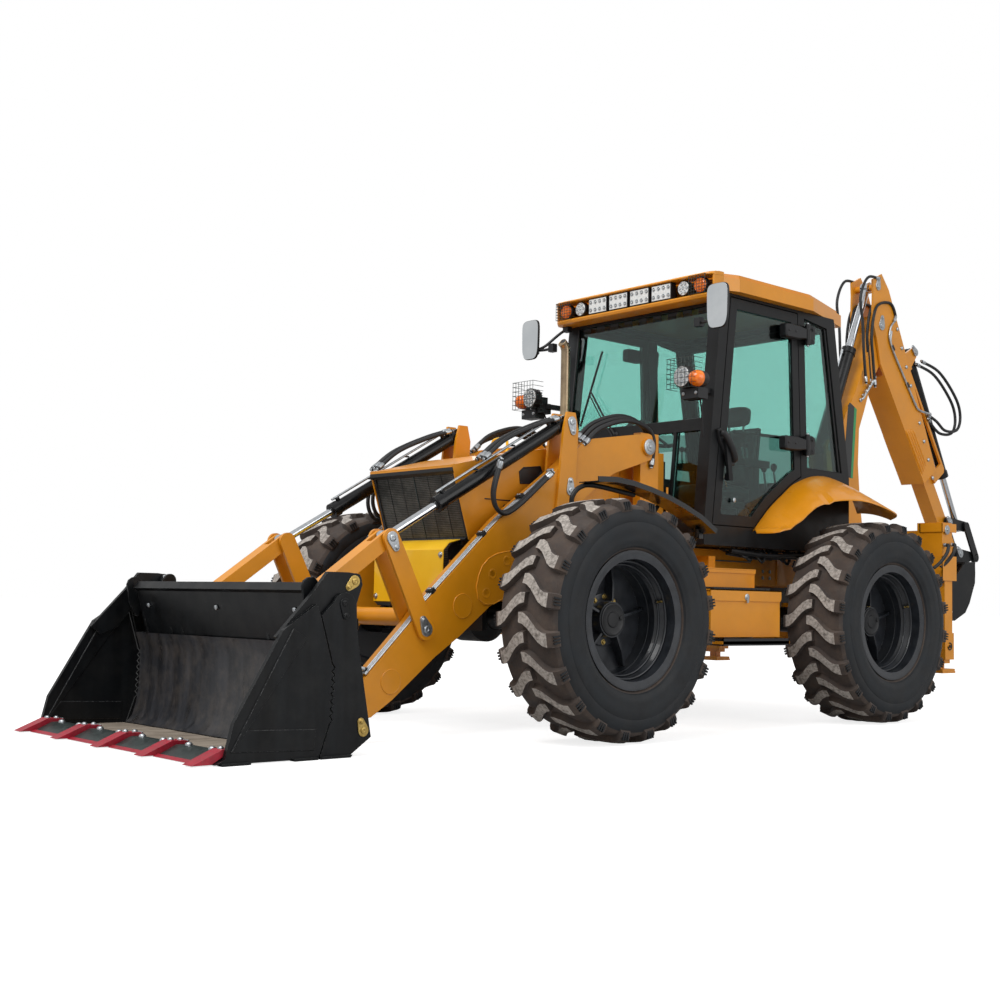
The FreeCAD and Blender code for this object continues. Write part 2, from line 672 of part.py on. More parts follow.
def door():
    frame = cut(side(door_line, ch - D("door_t"), ch), side(door_window, ch - 60, ch + 5))
    blocks = []
    for z in (1640.0, 2330.0):
        blocks.append(box(ch, ch + 42, 1985, 2085, z, z + 62))
        blocks.append(rod_z(z, z + 62, DOOR_AXIS[0], DOOR_AXIS[1], 22))
        blocks.append(box(ch + 8, ch + 42, 2060, DOOR_AXIS[1], z, z + 62))
    leaf = fuse(frame, blocks)
    leaf = cut(leaf, *[rod_z(z - 5, z + 70, DOOR_AXIS[0], DOOR_AXIS[1], 9 + D("run_gap"))
                       for z in (1640.0, 2330.0)])
    handle = fuse(box(ch, ch + 22, 1315, 1340, 1600, 1640), box(ch, ch + 22, 1345, 1370, 1400, 1440),
                  side([(1310, 1640), (1345, 1640), (1380, 1400), (1345, 1400)], ch + 18, ch + 36))
    return fuse(leaf, handle)


node("door_left", door())
node("door_right", mirror(door()))
pane = side(inset(door_window, g), ch - 20, ch - 20 + gt)
node("door_left_glass", group(pane))
pane2 = side(inset(door_window, g), ch - 20, ch - 20 + gt)
node("door_right_glass", group(mirror(pane2)))

# inside the cab
floor_top = cf + 40
console = fuse(box(-150, 150, 1262, 1370, floor_top + g, 1540), rod_between((1325, 1440), (1416, 1700), 30, 0),
               box(-90, 90, 1300, 1390, 1400, 1480))
STEER_AT = (1425.0, 1725.0)
STEER_R = 160.0
STEER_TURN = FreeCAD.Rotation(FreeCAD.Vector(1, 0, 0), -22)
wheel_disc = doc.addObject("Part::Torus", "WheelRing")
wheel_disc.Radius1, wheel_disc.Radius2 = STEER_R, 12.0
place(wheel_disc, 0, *STEER_AT, STEER_TURN)
spokes = []
for k in range(3):
    s = doc.addObject("Part::Cylinder", "Spoke")
    s.Radius, s.Height = 9.0, STEER_R
    r1 = FreeCAD.Rotation(FreeCAD.Vector(0, 0, 1), 90 + 120 * k)
    place(s, 0, *STEER_AT, STEER_TURN.multiply(r1).multiply(FreeCAD.Rotation(FreeCAD.Vector(0, 1, 0), 90)))
    spokes.append(s)
steering = fuse(wheel_disc, spokes, rod_between((1411, 1690), (1428, 1733), 28, 0))
SEAT = (0.0, 1970.0)
seat_stand = fuse(rod_z(floor_top + g, 1290, SEAT[0], SEAT[1], 60),
                  box(-150, 150, SEAT[1] - 150, SEAT[1] + 150, floor_top + g, 1120))
node("cab_fittings", group(console, steering, seat_stand))
back_y = SEAT[1] + 155
seat = fuse(box(-190, 190, SEAT[1] - 190, SEAT[1] + 200, 1291, 1330),
            box(-200, 200, SEAT[1] - 200, SEAT[1] + 210, 1330, 1420),
            side([(back_y, 1400), (back_y + 100, 1400), (back_y + 165, 1960), (back_y + 75, 1980)], -195, 195))
node("seat", fuse(seat, rod_z(1290.3, 1300, SEAT[0], SEAT[1], 60)))

# lamps, mirrors, beacon
def pillar(z, ahead=0.3):
    """Front face of the cab's front post at this height."""
    return (1165 + (z - 1140) * (145.0 / (ct - 1140)) - ahead, z)


lamp_post = fuse(side([pillar(1900), pillar(1930), (1060, 1930), (1060, 1900)], 575, 605),
                 box(590, 670, 1010, 1110, 1870, 1935),
                 rod_y(960, 1010, 629, 1960, 62), box(600, 660, 1000, 1090, 1930, 1975))

mirror_arm = fuse(rod_between((1120, 2300), (1290, 2450), 9, 610), rod_x(610, 645, 1122, 2302, 9),
                  side([pillar(2420), pillar(2480), (1275, 2478), (1262, 2420)], 595, 625),
                  rod_x(640, 774, 1122, 2302, 9),
                  box(690, 860, 1085, 1110, 2240, 2500), rod_x(765, 785, 1115, 2302, 14),
                  box(760, 790, 1105, 1126, 2290, 2314))
node("mirrors", group(both(mirror_arm)))
beacon = fuse(rod_z(ct + rt + g, ct + rt + 20, -420, 1500, 60), rod_z(ct + rt + 20, ct + rt + 75, -420, 1500, 48))
node("lamps", group(both(lamp_post), beacon))

# ---- fenders --------------------------------------------------------------------
f_line = [(40, 1286), (175, 1292), (300, 1282), (440, 1258), (570, 1228), (700, 1188), (840, 1136), (967, 1067)]
FENDER_X = (740.0, 880.0)
front_fender = fuse(side(strip(f_line, 6), *FENDER_X), side(strip(f_line, 28), FENDER_X[1] - 6, FENDER_X[1]),
                    box(510 + D("seat_gap"), 790, 930, 966, 1040, 1076))

# rear fender: a ruled leaf between its edge on the cab and its free edge
leaf_in = [(1612, 1120), (1685, 1188), (1779, 1271), (1900, 1355), (2008, 1424), (2206, 1488), (2400, 1492),
           (2540, 1452), (2630, 1380), (2690, 1290)]
leaf_out = [(690, 1570, 1108), (840, 1590, 1112), (872, 1742, 1176), (884, 1823, 1234), (896, 1912, 1284),
            (960, 2015, 1316), (1060, 2120, 1315), (1112, 2240, 1284), (1106, 2400, 1246), (960, 2560, 1230)]
LEAF_T = 8.0
LEAF_STEPS = 8
LEAF_CROWN = 14.0
DOOR_CLEAR = 9.0
DOOR_SWEEP = 2.2
LEAF_BETWEEN = 3


def under_door(x, y, z):
    """Height of the fender at (x, y), kept below the sweep of the door's lower edge."""
    if x - DOOR_AXIS[0] > DOOR_SWEEP * (DOOR_AXIS[1] - y):
        return z
    reach = ((x - DOOR_AXIS[0]) ** 2 + (y - DOOR_AXIS[1]) ** 2) ** 0.5
    lower = door_line[1:7]
    edge = lower[0][1]
    for (y0, z0), (y1, z1) in zip(lower, lower[1:]):
        if y0 <= DOOR_AXIS[1] - reach <= y1:
            edge = z0 + (z1 - z0) * (DOOR_AXIS[1] - reach - y0) / (y1 - y0)
    return min(z, edge - DOOR_CLEAR)


def flowing(points, between):
    """The points with more of them between, on a smooth curve through all."""
    out = []
    ends = [points[0]] + list(points) + [points[-1]]
    for a, b, c, d in zip(ends, ends[1:], ends[2:], ends[3:]):
        for k in range(between + 1):
            t = k / float(between + 1)
            out.append(tuple(
                0.5 * (2 * q + (r - p) * t + (2 * p - 5 * q + 4 * r - e) * t ** 2 + (3 * q - p - 3 * r + e) * t ** 3)
                for p, q, r, e in zip(a, b, c, d)))
    return out + [tuple(float(v) for v in points[-1])]


def leaf_fender():
    """A thin shell whose sections run from the cab wall to the free edge."""
    wires = []
    x_in = float(D("cab_half") + D("seat_gap"))
    for (yi, zi), (xo, yo, zo) in zip(flowing(leaf_in, LEAF_BETWEEN), flowing(leaf_out, LEAF_BETWEEN)):
        top = []
        for k in range(LEAF_STEPS + 1):
            t = k / float(LEAF_STEPS)
            x, y = x_in + (xo - x_in) * t, yi + (yo - yi) * t
            z = zi + (zo - zi) * t + LEAF_CROWN * 4.0 * t * (1.0 - t)
            top.append((x, y, under_door(x, y, z)))
        ring = top + [(x, y, z - LEAF_T) for x, y, z in top[::-1]]
        wires.append(Part.makePolygon([FreeCAD.Vector(*q) for q in ring + [ring[0]]]))
    f = doc.addObject("Part::Feature", "Leaf")
    f.Shape = Part.makeLoft(wires, True, True)
    return f


rear_fender = leaf_fender()
node("fenders", group(both(front_fender), both(rear_fender)))

# ---- step box and tank beside the frame -----------------------------------------


def side_box():
    main = box(560, 979, 806, 1409, 505, 756)
    upper = box(560, 845, 870, 1353, 756, 875)
    bracket = fuse(box(400 + D("seat_gap"), 570, 1000, 1060, 700, 960), box(400 + D("seat_gap"), 570, 1280, 1340, 700, 960))
    step = fuse(box(560, 1068, 800, 1380, 470, 486), box(600, 640, 860, 900, 480, 510),
                box(600, 640, 1300, 1340, 480, 510))
    return fuse(main, upper, bracket, step)


node("side_boxes", group(both(side_box())))

# ---- loader arms ----------------------------------------------------------------
arm_line = [(-1235, 222), (-1099, 305), (-829, 569), (-752, 658), (-274, 1092), (138, 1384),
            (276, 1503), (357, 1560), (807, 1632), (860, 1487), (570, 1392), (465, 1337),
            (333, 1233), (-259, 690), (-339, 643), (-530, 497), (-681, 399), (-939, 198),
            (-1060, 122), (-1235, 104)]
a0, a1 = D("arm_in"), D("arm_in") + D("arm_w")


def loader_arm():
    solid = fuse(side(arm_line, a0, a1), rod_x(a0, a1, BUCKET_PIN[0], BUCKET_PIN[1], 64),
                 rod_x(a0, a1, ARM_PIVOT[0], ARM_PIVOT[1], 76),
                 rod_x(a0, a1, LIFT_TIP[0], LIFT_TIP[1], 62))
    fork = box(a0 + 14, a1 - 14, 640, 960, 1380, 1700)
    slot = rod_x(a0 + 14, a1 - 14, LIFT_TIP[0], LIFT_TIP[1], 130)
    tail = side([LIFT_TIP, (LIFT_TIP[0] + 260, LIFT_TIP[1] + 130), (LIFT_TIP[0] + 260, LIFT_TIP[1] - 40),
                 (LIFT_TIP[0], LIFT_TIP[1] - 60)], a0 + 14, a1 - 14)
    body = cut(solid, fork, slot, tail,
               rod_x(a0 - 5, a1 + 5, ARM_PIVOT[0], ARM_PIVOT[1], D("arm_pin_r") + D("run_gap")),
               rod_x(a0 - 5, a1 + 5, BUCKET_PIN[0], BUCKET_PIN[1], 28 + D("run_gap")))
    upright = [(109, 1150), (240, 1150), (264, 1600), (240, 1690), (180, 1690), (156, 1600)]
    cap = rod_x(a1, a1 + 12, ARM_PIVOT[0], ARM_PIVOT[1], 50)
    cap2 = rod_x(a0 - 10, a0, ARM_PIVOT[0], ARM_PIVOT[1], 50)
    stub = rod_x(a0 + 12, a0 + 26, LIFT_TIP[0], LIFT_TIP[1], 24)
    stub2 = rod_x(a1 - 26, a1 - 12, LIFT_TIP[0], LIFT_TIP[1], 24)
    return fuse(body, side(upright, a1, a1 + 16), side(upright, a0 - 16, a0), cap, cap2, stub, stub2,
                rod_x(a0 - 16, a1 + 16, TILT_BASE[0], TILT_BASE[1], D("link_pin_r")),
                rod_x(a0 - D("lever_gap") - D("lever_t"), a1 + D("lever_gap") + D("lever_t"),
                      LEVER_PIN[0], LEVER_PIN[1], D("link_pin_r")))


left_arm = loader_arm()
cross = rod_x(-a0, a0, -620, 585, 46)
node("loader_arms", fuse(both(left_arm), cross))

li0, li1 = a0 - D("lever_gap") - D("lever_t"), a0 - D("lever_gap")
lo0, lo1 = a1 + D("lever_gap"), a1 + D("lever_gap") + D("lever_t")
lp = D("link_pin_r")


def tilt_lever():
    plates = []
    for x0, x1 in ((li0, li1), (lo0, lo1)):
        plates.append(cut(fuse(oval(LEVER_PIN, LEVER_TOP, 52, 46, x0, x1)),
                          rod_x(x0 - 2, x1 + 2, LEVER_PIN[0], LEVER_PIN[1], lp + D("run_gap"))))
    stub_end = 25 - D("seat_gap")
    stubs = [rod_x(li0, a0 + stub_end, LEVER_TOP[0], LEVER_TOP[1], lp),
             rod_x(a1 - stub_end, lo1, LEVER_TOP[0], LEVER_TOP[1], lp)]
    return [fuse(plates[0], stubs[0]), fuse(plates[1], stubs[1])]


def tilt_link():
    legs = fuse(oval(LEVER_TOP, LINK_PIN, 38, 38, a0 + 2, a1 - 2))
    return cut(legs, rod_x(a0 + 24, a1 - 24, LEVER_TOP[0], LEVER_TOP[1], 92),
               rod_x(a0 - 2, a1 + 2, LEVER_TOP[0], LEVER_TOP[1], lp + D("run_gap")),
               rod_x(a0 - 2, a1 + 2, LINK_PIN[0], LINK_PIN[1], lp + D("eye_gap")))


node("tilt_levers", group([p for half in tilt_lever() for p in both(half)]))
node("tilt_links", group(both(tilt_link())))
am = a0 + D("arm_w") * 0.5

tilt_short = min(gap(TILT_BASE, turned(LEVER_TOP, LEVER_PIN, d)) for d in (-TILT_BACK, -TILT_DUMP))
tilt_long = max(gap(TILT_BASE, turned(LEVER_TOP, LEVER_PIN, d)) for d in (-TILT_BACK, -TILT_DUMP))
b, r = cylinder_pair(TILT_BASE, LEVER_TOP, tilt_short, tilt_long, D("tilt_bore"), D("tilt_rod"), am,
                     34.0, 40.0, 38.0, lp, lp)
node("tilt_barrels", group(both(b)))
node("tilt_rods", group(both(r)))
lift_long = gap(LIFT_BASE, turned(LIFT_TIP, ARM_PIVOT, -LIFT_MAX))
b, r = cylinder_pair(LIFT_BASE, LIFT_TIP, gap(LIFT_BASE, LIFT_TIP) - 12, lift_long, D("lift_bore"), D("lift_rod"),
                     am, 34.0, 50.0, 46.0, 24.0, 24.0)
node("lift_barrels", group(both(b)))
node("lift_rods", group(both(r)))

# ---- loader bucket ---------------------------------------------------------------
bh, bt = D("bucket_half"), D("bucket_t")
teeth_n = 8
jaw_low, jaw_high = (-1566.0, 145.0), (-1558.0, 396.0)
zig = []
for k in range(teeth_n * 2 + 1):
    t = k / (teeth_n * 2.0)
    zig.append((jaw_low[0] + (jaw_high[0] - jaw_low[0]) * t + (14.0 if k % 2 else 0.0),
                jaw_low[1] + (jaw_high[1] - jaw_low[1]) * t))
jaw = [(-1614.0, 4.0)] + zig
jaw_back = [(y + 4, z) for y, z in jaw]
jaw_front = [(y - 4, z) for y, z in jaw]
side_back = ([(-1462, 4), (-1347, 81), (-1428, 490), (-1436, 560), (-1440, 640)] +
             [turned((CLAM_PIN[0] + 60, CLAM_PIN[1]), CLAM_PIN, d) for d in (20, 50, 80, 110, 140, 160)] +
             [(-1618, 600)] + jaw_back[::-1])
sheet_line = [(-1606, 8), (-1560, 60), (-1532, 200), (-1532, 400), (-1562, 480), (-1600, 600),
              (-1634, 717)]
low_line = sheet_line[:5]


def bucket_back():
    s_in, s_out = bh - bt, bh
    plate = side(side_back, s_in, s_out)
    gus = side([(-1560, 10), (-1462, 4), (-1360, 70), (-1347, 100), (-1428, 490), (-1440, 660),
                (-1490, 700), (-1606, 700), (-1600, 600), (-1566, 480), (-1536, 400), (-1536, 200)],
               742, 760)
    ears = []
    for x0, x1 in ((a0 - 22, a0 - 4), (a1 + 4, a1 + 22)):
        ear = fuse(side([(-1552, 30), (-1420, 60), (-1270, 101), (-1206, 165), (-1270, 229),
                         (-1420, 420), (-1444, 620), (-1492, 648), (-1600, 640), (-1566, 480),
                         (-1536, 400), (-1536, 200)], x0, x1),
                   rod_x(x0, x1, BUCKET_PIN[0], BUCKET_PIN[1], 62), rod_x(x0, x1, LINK_PIN[0], LINK_PIN[1], 46))
        ears.append(ear)
    pins = [rod_x(a0 - 22, a1 + 22, BUCKET_PIN[0], BUCKET_PIN[1], 28),
            rod_x(a0 - 22, a1 + 22, LINK_PIN[0], LINK_PIN[1], D("link_pin_r")),
            rod_x(742, bh, CLAM_PIN[0], CLAM_PIN[1], 26),
            rod_x(742, bh, CLAM_BASE[0], CLAM_BASE[1], 18)]
    return [plate, gus] + ears + pins


half = bucket_back()
center = [side(strip(low_line, -12), -(bh - bt), bh - bt), side(strip(sheet_line, -12), -760, 760),
          box(-(bh - bt), bh - bt, -1606, -1462, 4, 18),
          side([(-1462, 4), (-1360, 70), (-1368, 82), (-1470, 18)], -(bh - bt), bh - bt),
          side([(-1650, 706), (-1622, 740), (-1606, 706), (-1622, 690)], -760, 760),
          rod_x(-742, 742, -1480, 330, 45)]
node("bucket_back", fuse(half, [mirror(h) for h in half], center))

clam_side = [(-2068, 6)] + jaw_front + [(-1625, 600), (-1646, 648), (-1808, 538), (-2029, 166)]


def clam_half():
    plate = side(clam_side, bh - bt - 6, bh)
    arm = side([(-1780, 470), (-1690, 505), (-1620, 590), (-1530, 590), (-1470, 580), (-1430, 640),
                (-1398, 735), (-1412, 778), (-1470, 786), (-1580, 786), (-1650, 700), (-1830, 510)],
               bh - bt - 26, bh - bt - 4)
    hub = rod_x(770, bh - bt - 6, CLAM_PIN[0], CLAM_PIN[1], 50)
    inner = fuse(oval(CLAM_PIN, CLAM_TIP, 50, 34, 770, 786))
    boss = rod_x(bh - bt - 26, bh - bt - 4, CLAM_TIP[0], CLAM_TIP[1], 34)
    stubs = [rod_x(770, 792, CLAM_TIP[0], CLAM_TIP[1], 16), rod_x(832, 846, CLAM_TIP[0], CLAM_TIP[1], 16)]
    whole = fuse(arm, hub, inner, boss, stubs)
    whole = cut(whole, rod_x(760, bh - bt - 3, CLAM_PIN[0], CLAM_PIN[1], 26 + D("run_gap")))
    return fuse(plate, whole)


clam_parts = both(clam_half())
clam_floor = [box(-(bh - bt), bh - bt, -2068, -1622, 6, 20),
              side([(-2110, 6), (-1990, 6), (-1990, 34), (-2040, 34)], -bh, bh)]
node("bucket_clam", fuse(clam_parts, clam_floor))
tooth = [(-2199, 6), (-2110.3, 6), (-2060, 34.5), (-1980, 34.5), (-1980, 60), (-2060, 64)]
node("bucket_teeth", group([side(tooth, x - 38, x + 38) for x in (-819, -410, 0, 410, 819)]))
CLAM_X = 811.0
clam_short = gap(CLAM_BASE, turned(CLAM_TIP, CLAM_PIN, -CLAM_OPEN))
b, r = cylinder_pair(CLAM_BASE, CLAM_TIP, clam_short, gap(CLAM_BASE, CLAM_TIP), D("clam_bore"), D("clam_rod"),
                     CLAM_X, 26.0, 32.0, 30.0, 18.0, 16.0)
node("clam_barrels", group(both(b)))
node("clam_rods", group(both(r)))

# ---- rear frame, stabilisers --------------------------------------------------------
sx, sy = D("stab_x"), D("stab_y")
hw_s, hd_s = D("stab_w") * 0.5, D("stab_d") * 0.5
inner_face = sx - hw_s


def stab_box(grow, z0, z1):
    return box(sx - hw_s - grow, sx + hw_s + grow, sy - hd_s - grow, sy + hd_s + grow, z0, z1)


def outer_leg():
    tube = fuse(stab_box(0, 355, 1237), stab_box(8, 869, 1000), stab_box(7, 355, 526),
                box(sx - hw_s - 30, sx + hw_s, sy - hd_s - 28, sy + hd_s, 1000, 1237))
    rear = sy + hd_s
    lug = cut(box(sx - 15, sx + 15, rear + 3, rear + 67, 440, 520),
              rod_x(sx - 20, sx + 20, rear + 36, 480, D("tie_r")))
    return fuse(cut(tube, stab_box(-D("stab_wall"), 350, 1225)), lug)


rails = [box(-inner_face, inner_face, 3140, 3214, 420, 520), box(-inner_face, inner_face, 3140, 3214, 1090, 1190)]
ties = both(box(D("rail_in"), rail_out, D("frame_rear"), 3200, 515, 1095))
node("rear_frame", fuse(both(outer_leg()), rails, ties))


def leg():
    return fuse(stab_box(-D("stab_wall") - D("leg_gap"), 330, 1200),
                box(sx - 30, sx + 30, sy - 25, sy + 25, 292, 335),
                box(sx - 75, sx + 75, sy - 75, sy + 75, 280, 296))


node("stabiliser_left", leg())
node("stabiliser_right", mirror(leg()))

# ---- side-shift carriage and kingpost -------------------------------------------------
plate = box(-240, 240, 3220, 3245, 404, 1206)
hooks = [box(-240, 240, 3120, 3245, 1196, 1216), box(-240, 240, 3118, 3134, 1150, 1216),
         box(-240, 240, 3120, 3245, 394, 414), box(-240, 240, 3118, 3134, 394, 450)]
pads = [box(-200, 200, 3214 + D("seat_gap"), 3222, 1110, 1170), box(-200, 200, 3214 + D("seat_gap"), 3222, 440, 500)]
lugs = []
for z0, z1 in ((400.0, 440.0), (700.0, 740.0)):
    lugs += [box(-65, 65, 3240, SWING_Y, z0, z1), rod_z(z0, z1, 0, SWING_Y, 65)]
lug_pins = [rod_z(400, 740, 0, SWING_Y, 30)]
node("hoe_carriage", fuse(plate, hooks, pads, lugs, lug_pins))

post_block = fuse(rod_z(446, 694, 0, SWING_Y, 62), box(-128, 128, SWING_Y - 25, SWING_Y + 80, 446, 694))
king_plate = [(3380, 450), (3640, 500), (3700, 545), (3716, 600), (3690, 670), (3560, 850), (3460, 866),
              (3404, 830), (3400, 752), (3476, 752), (3476, 690), (3380, 690)]
king = fuse(post_block, both(side(king_plate, D("boom_half") + 4, D("boom_half") + 28)),
            rod_x(-D("boom_half") - 28, D("boom_half") + 28, BOOM_FOOT[0], BOOM_FOOT[1], 32),
            rod_x(-D("boom_half") - 28, D("boom_half") + 28, BOOM_RAM_BASE[0], BOOM_RAM_BASE[1], 24))
node("kingpost", cut(king, rod_z(400, 745, 0, SWING_Y, 30 + D("run_gap"))))

# ---- boom ------------------------------------------------------------------------------
boom_line = [(3585, 660), (3520, 860), (3462, 1000), (3368, 1300), (3296, 1560), (3282, 1700),
             (3296, 1850), (3375, 2050), (3484, 2200), (3604, 2420), (3690, 2600), (3735, 2700),
             (3800, 2835), (3880, 2760), (3800, 2450), (3695, 2304), (3610, 2100), (3545, 1961),
             (3531, 1707), (3560, 1400), (3616, 1100), (3680, 850), (3705, 650)]
bx = D("boom_half")
boom = fuse(side(boom_line, -bx, bx), rod_x(-bx, bx, BOOM_FOOT[0], BOOM_FOOT[1], 74),
            rod_x(-bx, bx, DIPPER_PIN[0], DIPPER_PIN[1], 82))
boom = cut(boom, rod_x(-bx - 5, bx + 5, BOOM_FOOT[0], BOOM_FOOT[1], 32 + D("run_gap")),
           rod_x(-bx - 5, bx + 5, DIPPER_PIN[0], DIPPER_PIN[1], 32 + D("run_gap")))
ear_line = [(3310, 1440), (3205, 1505), (3172, 1550), (3150, 1700), (3142, 1800), (3165, 1848),
            (3210, 1850), (3310, 1900)]
ears = both(side(ear_line, 57, 76))
boom = fuse(boom, ears, rod_x(-76, 76, DIPPER_RAM_BASE[0], DIPPER_RAM_BASE[1], 24),
            both(rod_x(36, 76, BOOM_RAM_TIP[0], BOOM_RAM_TIP[1], 24)))
node("boom", boom)

# ---- dipper and its sliding part ----------------------------------------------------------


def dip_line(points):
    return [dp(a, o) for a, o in points]


head = [(-335, 90), (-320, 215), (-180, 235), (195, 190), (1256, 52), (1256, -151), (230, -172), (60, -112),
        (-80, -84), (-250, 40)]
body_line = [(330, 172), (1256, 52), (1256, -151), (330, -170)]
cavity = [(340, 36), (1300, 36), (1300, -96), (340, -96)]
dx0, dx1 = bx + 4, bx + 4 + D("dipper_t")
dipper = fuse(both(side(dip_line(head)[::-1], dx0, dx1)), side(dip_line(body_line)[::-1], -dx1 + 1, dx1 - 1),
              rod_x(-dx1, dx1, DIPPER_PIN[0], DIPPER_PIN[1], 32),
              both(rod_x(34, dx1, DIPPER_RAM_TIP[0], DIPPER_RAM_TIP[1], 24)))
dipper = cut(dipper, side(dip_line(cavity)[::-1], -D("tube_half") - 4, D("tube_half") + 4))
shoe_lines = ([(1170, 37), (1250, 37), (1250, 32.3), (1170, 32.3)],
              [(1170, -92.3), (1250, -92.3), (1250, -97), (1170, -97)])
dipper = fuse(dipper, [side(dip_line(shoe)[::-1], -60, 60) for shoe in shoe_lines])
node("dipper", dipper)

th = D("tube_half")
R = _reach
tube_line = [(348, 32), (R - 60, 32), (R, 56), (R, -56), (R - 60, -92), (348, -92)]
slide = fuse(side(dip_line(tube_line)[::-1], -th, th), rod_x(-th, th, DIG_PIN[0], DIG_PIN[1], 56),
             rod_x(-th, th, ROCKER_PIN[0], ROCKER_PIN[1], 44),
             both(side(dip_line([(330, 202), (1320, 202), (1345, 180), (1350, 20), (1266, 20), (1266, 180),
                                 (330, 180)])[::-1], 54, 72)),
             side(dip_line([(330, 230), (470, 230), (470, 180), (330, 180)])[::-1], -72, 72),
             both(side(dip_line([(330, 200), (345, 340), (385, 384), (425, 340), (470, 200)])[::-1], 50, 66)),
             rod_x(-66, 66, DIG_RAM_BASE[0], DIG_RAM_BASE[1], 22),
             rod_x(-th - 21, th + 21, ROCKER_PIN[0], ROCKER_PIN[1], 22))
slide = cut(slide, rod_x(-th - 5, th + 5, DIG_PIN[0], DIG_PIN[1], 26 + D("run_gap")))
node("dipper_slide", slide)

rk0, rk1 = th + 6, th + 20
lk0, lk1 = rk1 + 4, rk1 + 18
rock_plate = cut(fuse(oval(ROCKER_PIN, ROCKER_TIP, 40, 40, rk0, rk1)),
                 rod_x(rk0 - 2, rk1 + 2, ROCKER_PIN[0], ROCKER_PIN[1], 22 + D("run_gap")))
rock_stub = rod_x(34, lk1, ROCKER_TIP[0], ROCKER_TIP[1], 22)
node("dig_rocker", group(both(fuse(rock_plate, rock_stub))))
link_plate = cut(fuse(oval(ROCKER_TIP, DIG_LINK_PIN, 36, 36, lk0, lk1)),
                 rod_x(lk0 - 2, lk1 + 2, ROCKER_TIP[0], ROCKER_TIP[1], 22 + D("run_gap")),
                 rod_x(lk0 - 2, lk1 + 2, DIG_LINK_PIN[0], DIG_LINK_PIN[1], 28.0))
node("dig_links", group(both(link_plate)))

# digging bucket: curved shell, side plates, ears and teeth
hx = D("hoe_half")
H = DIG_PIN
shell_line = [(4997, 1044), (5000, 965), (4994, 887), (4962, 828), (4912, 730), (4848, 655), (4690, 592),
              (4545, 630), (4455, 735)]
side_line = [(4850, 1040)] + shell_line[::-1]
hoe = [side(strip(shell_line, -14), -hx, hx)]
hoe += both(side(side_line, hx - 14, hx))
hoe += [side([(4850, 1034), (4850, 1048), (5001, 1048), (5001, 1034)], -hx, hx)]
ear = [(4850, 1034), (4855, 1120), (4900, 1171), (H[0] + 60, 1150), (DIG_LINK_PIN[0] - 20, DIG_LINK_PIN[1] + 40),
       (DIG_LINK_PIN[0] + 40, DIG_LINK_PIN[1]), (5001, 1034)]
hoe += both(fuse(side(ear, rk0, rk1), rod_x(rk0, rk1, H[0], H[1], 56),
                 rod_x(rk0, rk1, DIG_LINK_PIN[0], DIG_LINK_PIN[1], 40)))
hoe += [rod_x(-rk1, rk1, H[0], H[1], 26), rod_x(-lk1, lk1, DIG_LINK_PIN[0], DIG_LINK_PIN[1], 22)]
for x in (-131, 0, 131):
    hoe += [side([(4470, 712), (4375, 800), (4440, 760), (4500, 735)], x - 28, x + 28)]
node("dig_bucket", fuse(hoe))

# ---- backhoe cylinders -----------------------------------------------------------------
boom_short = gap(BOOM_RAM_BASE, turned(BOOM_RAM_TIP, BOOM_FOOT, BOOM_UP))
boom_long = gap(BOOM_RAM_BASE, turned(BOOM_RAM_TIP, BOOM_FOOT, BOOM_DOWN))
b, r = cylinder_pair(BOOM_RAM_BASE, BOOM_RAM_TIP, boom_short, boom_long, D("boom_bore"), D("boom_rod"), 0,
                     60.0, 44.0, 44.0, 24.0, 24.0)
node("boom_barrel", b)
node("boom_rod", r)
dip_short = gap(DIPPER_RAM_BASE, turned(DIPPER_RAM_TIP, DIPPER_PIN, DIPPER_OUT))
dip_long = gap(DIPPER_RAM_BASE, turned(DIPPER_RAM_TIP, DIPPER_PIN, DIPPER_IN))
b, r = cylinder_pair(DIPPER_RAM_BASE, DIPPER_RAM_TIP, dip_short, dip_long, D("dip_bore"), D("dip_rod"), 0,
                     60.0, 42.0, 42.0, 24.0, 24.0)
node("dipper_barrel", b)
node("dipper_rod", r)
dig_short = gap(DIG_RAM_BASE, turned(ROCKER_TIP, ROCKER_PIN, DIG_OPEN))
dig_long = gap(DIG_RAM_BASE, turned(ROCKER_TIP, ROCKER_PIN, DIG_CURL))
b, r = cylinder_pair(DIG_RAM_BASE, ROCKER_TIP, dig_short, dig_long, D("dig_bore"), D("dig_rod"), 0,
                     56.0, 38.0, 38.0, 22.0, 22.0)
node("dig_barrel", b)
node("dig_rod_bar", r)

# ---- build and write ----------------------------------------------------------------------
doc.recompute()
bad = []
for o in doc.Objects:
    if "Invalid" in o.State or "Error" in o.State:
        bad.append((o.Name, o.Label, o.State))
for n in nodes:
    if n.Shape.isNull() or not n.Shape.isValid():
        bad.append((n.Name, n.Label, "shape"))
if bad:
    raise RuntimeError("unsound pieces: %r" % bad[:12])
for n in nodes:
    n.Shape.exportStep("parts/%s.step" % n.Label)
print("written", len(nodes))
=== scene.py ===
"""Backhoe loader: finishes and fine detail over the engineered frame, with its stage and camera."""

import math

import bmesh
import bpy
from mathutils import Matrix, Vector


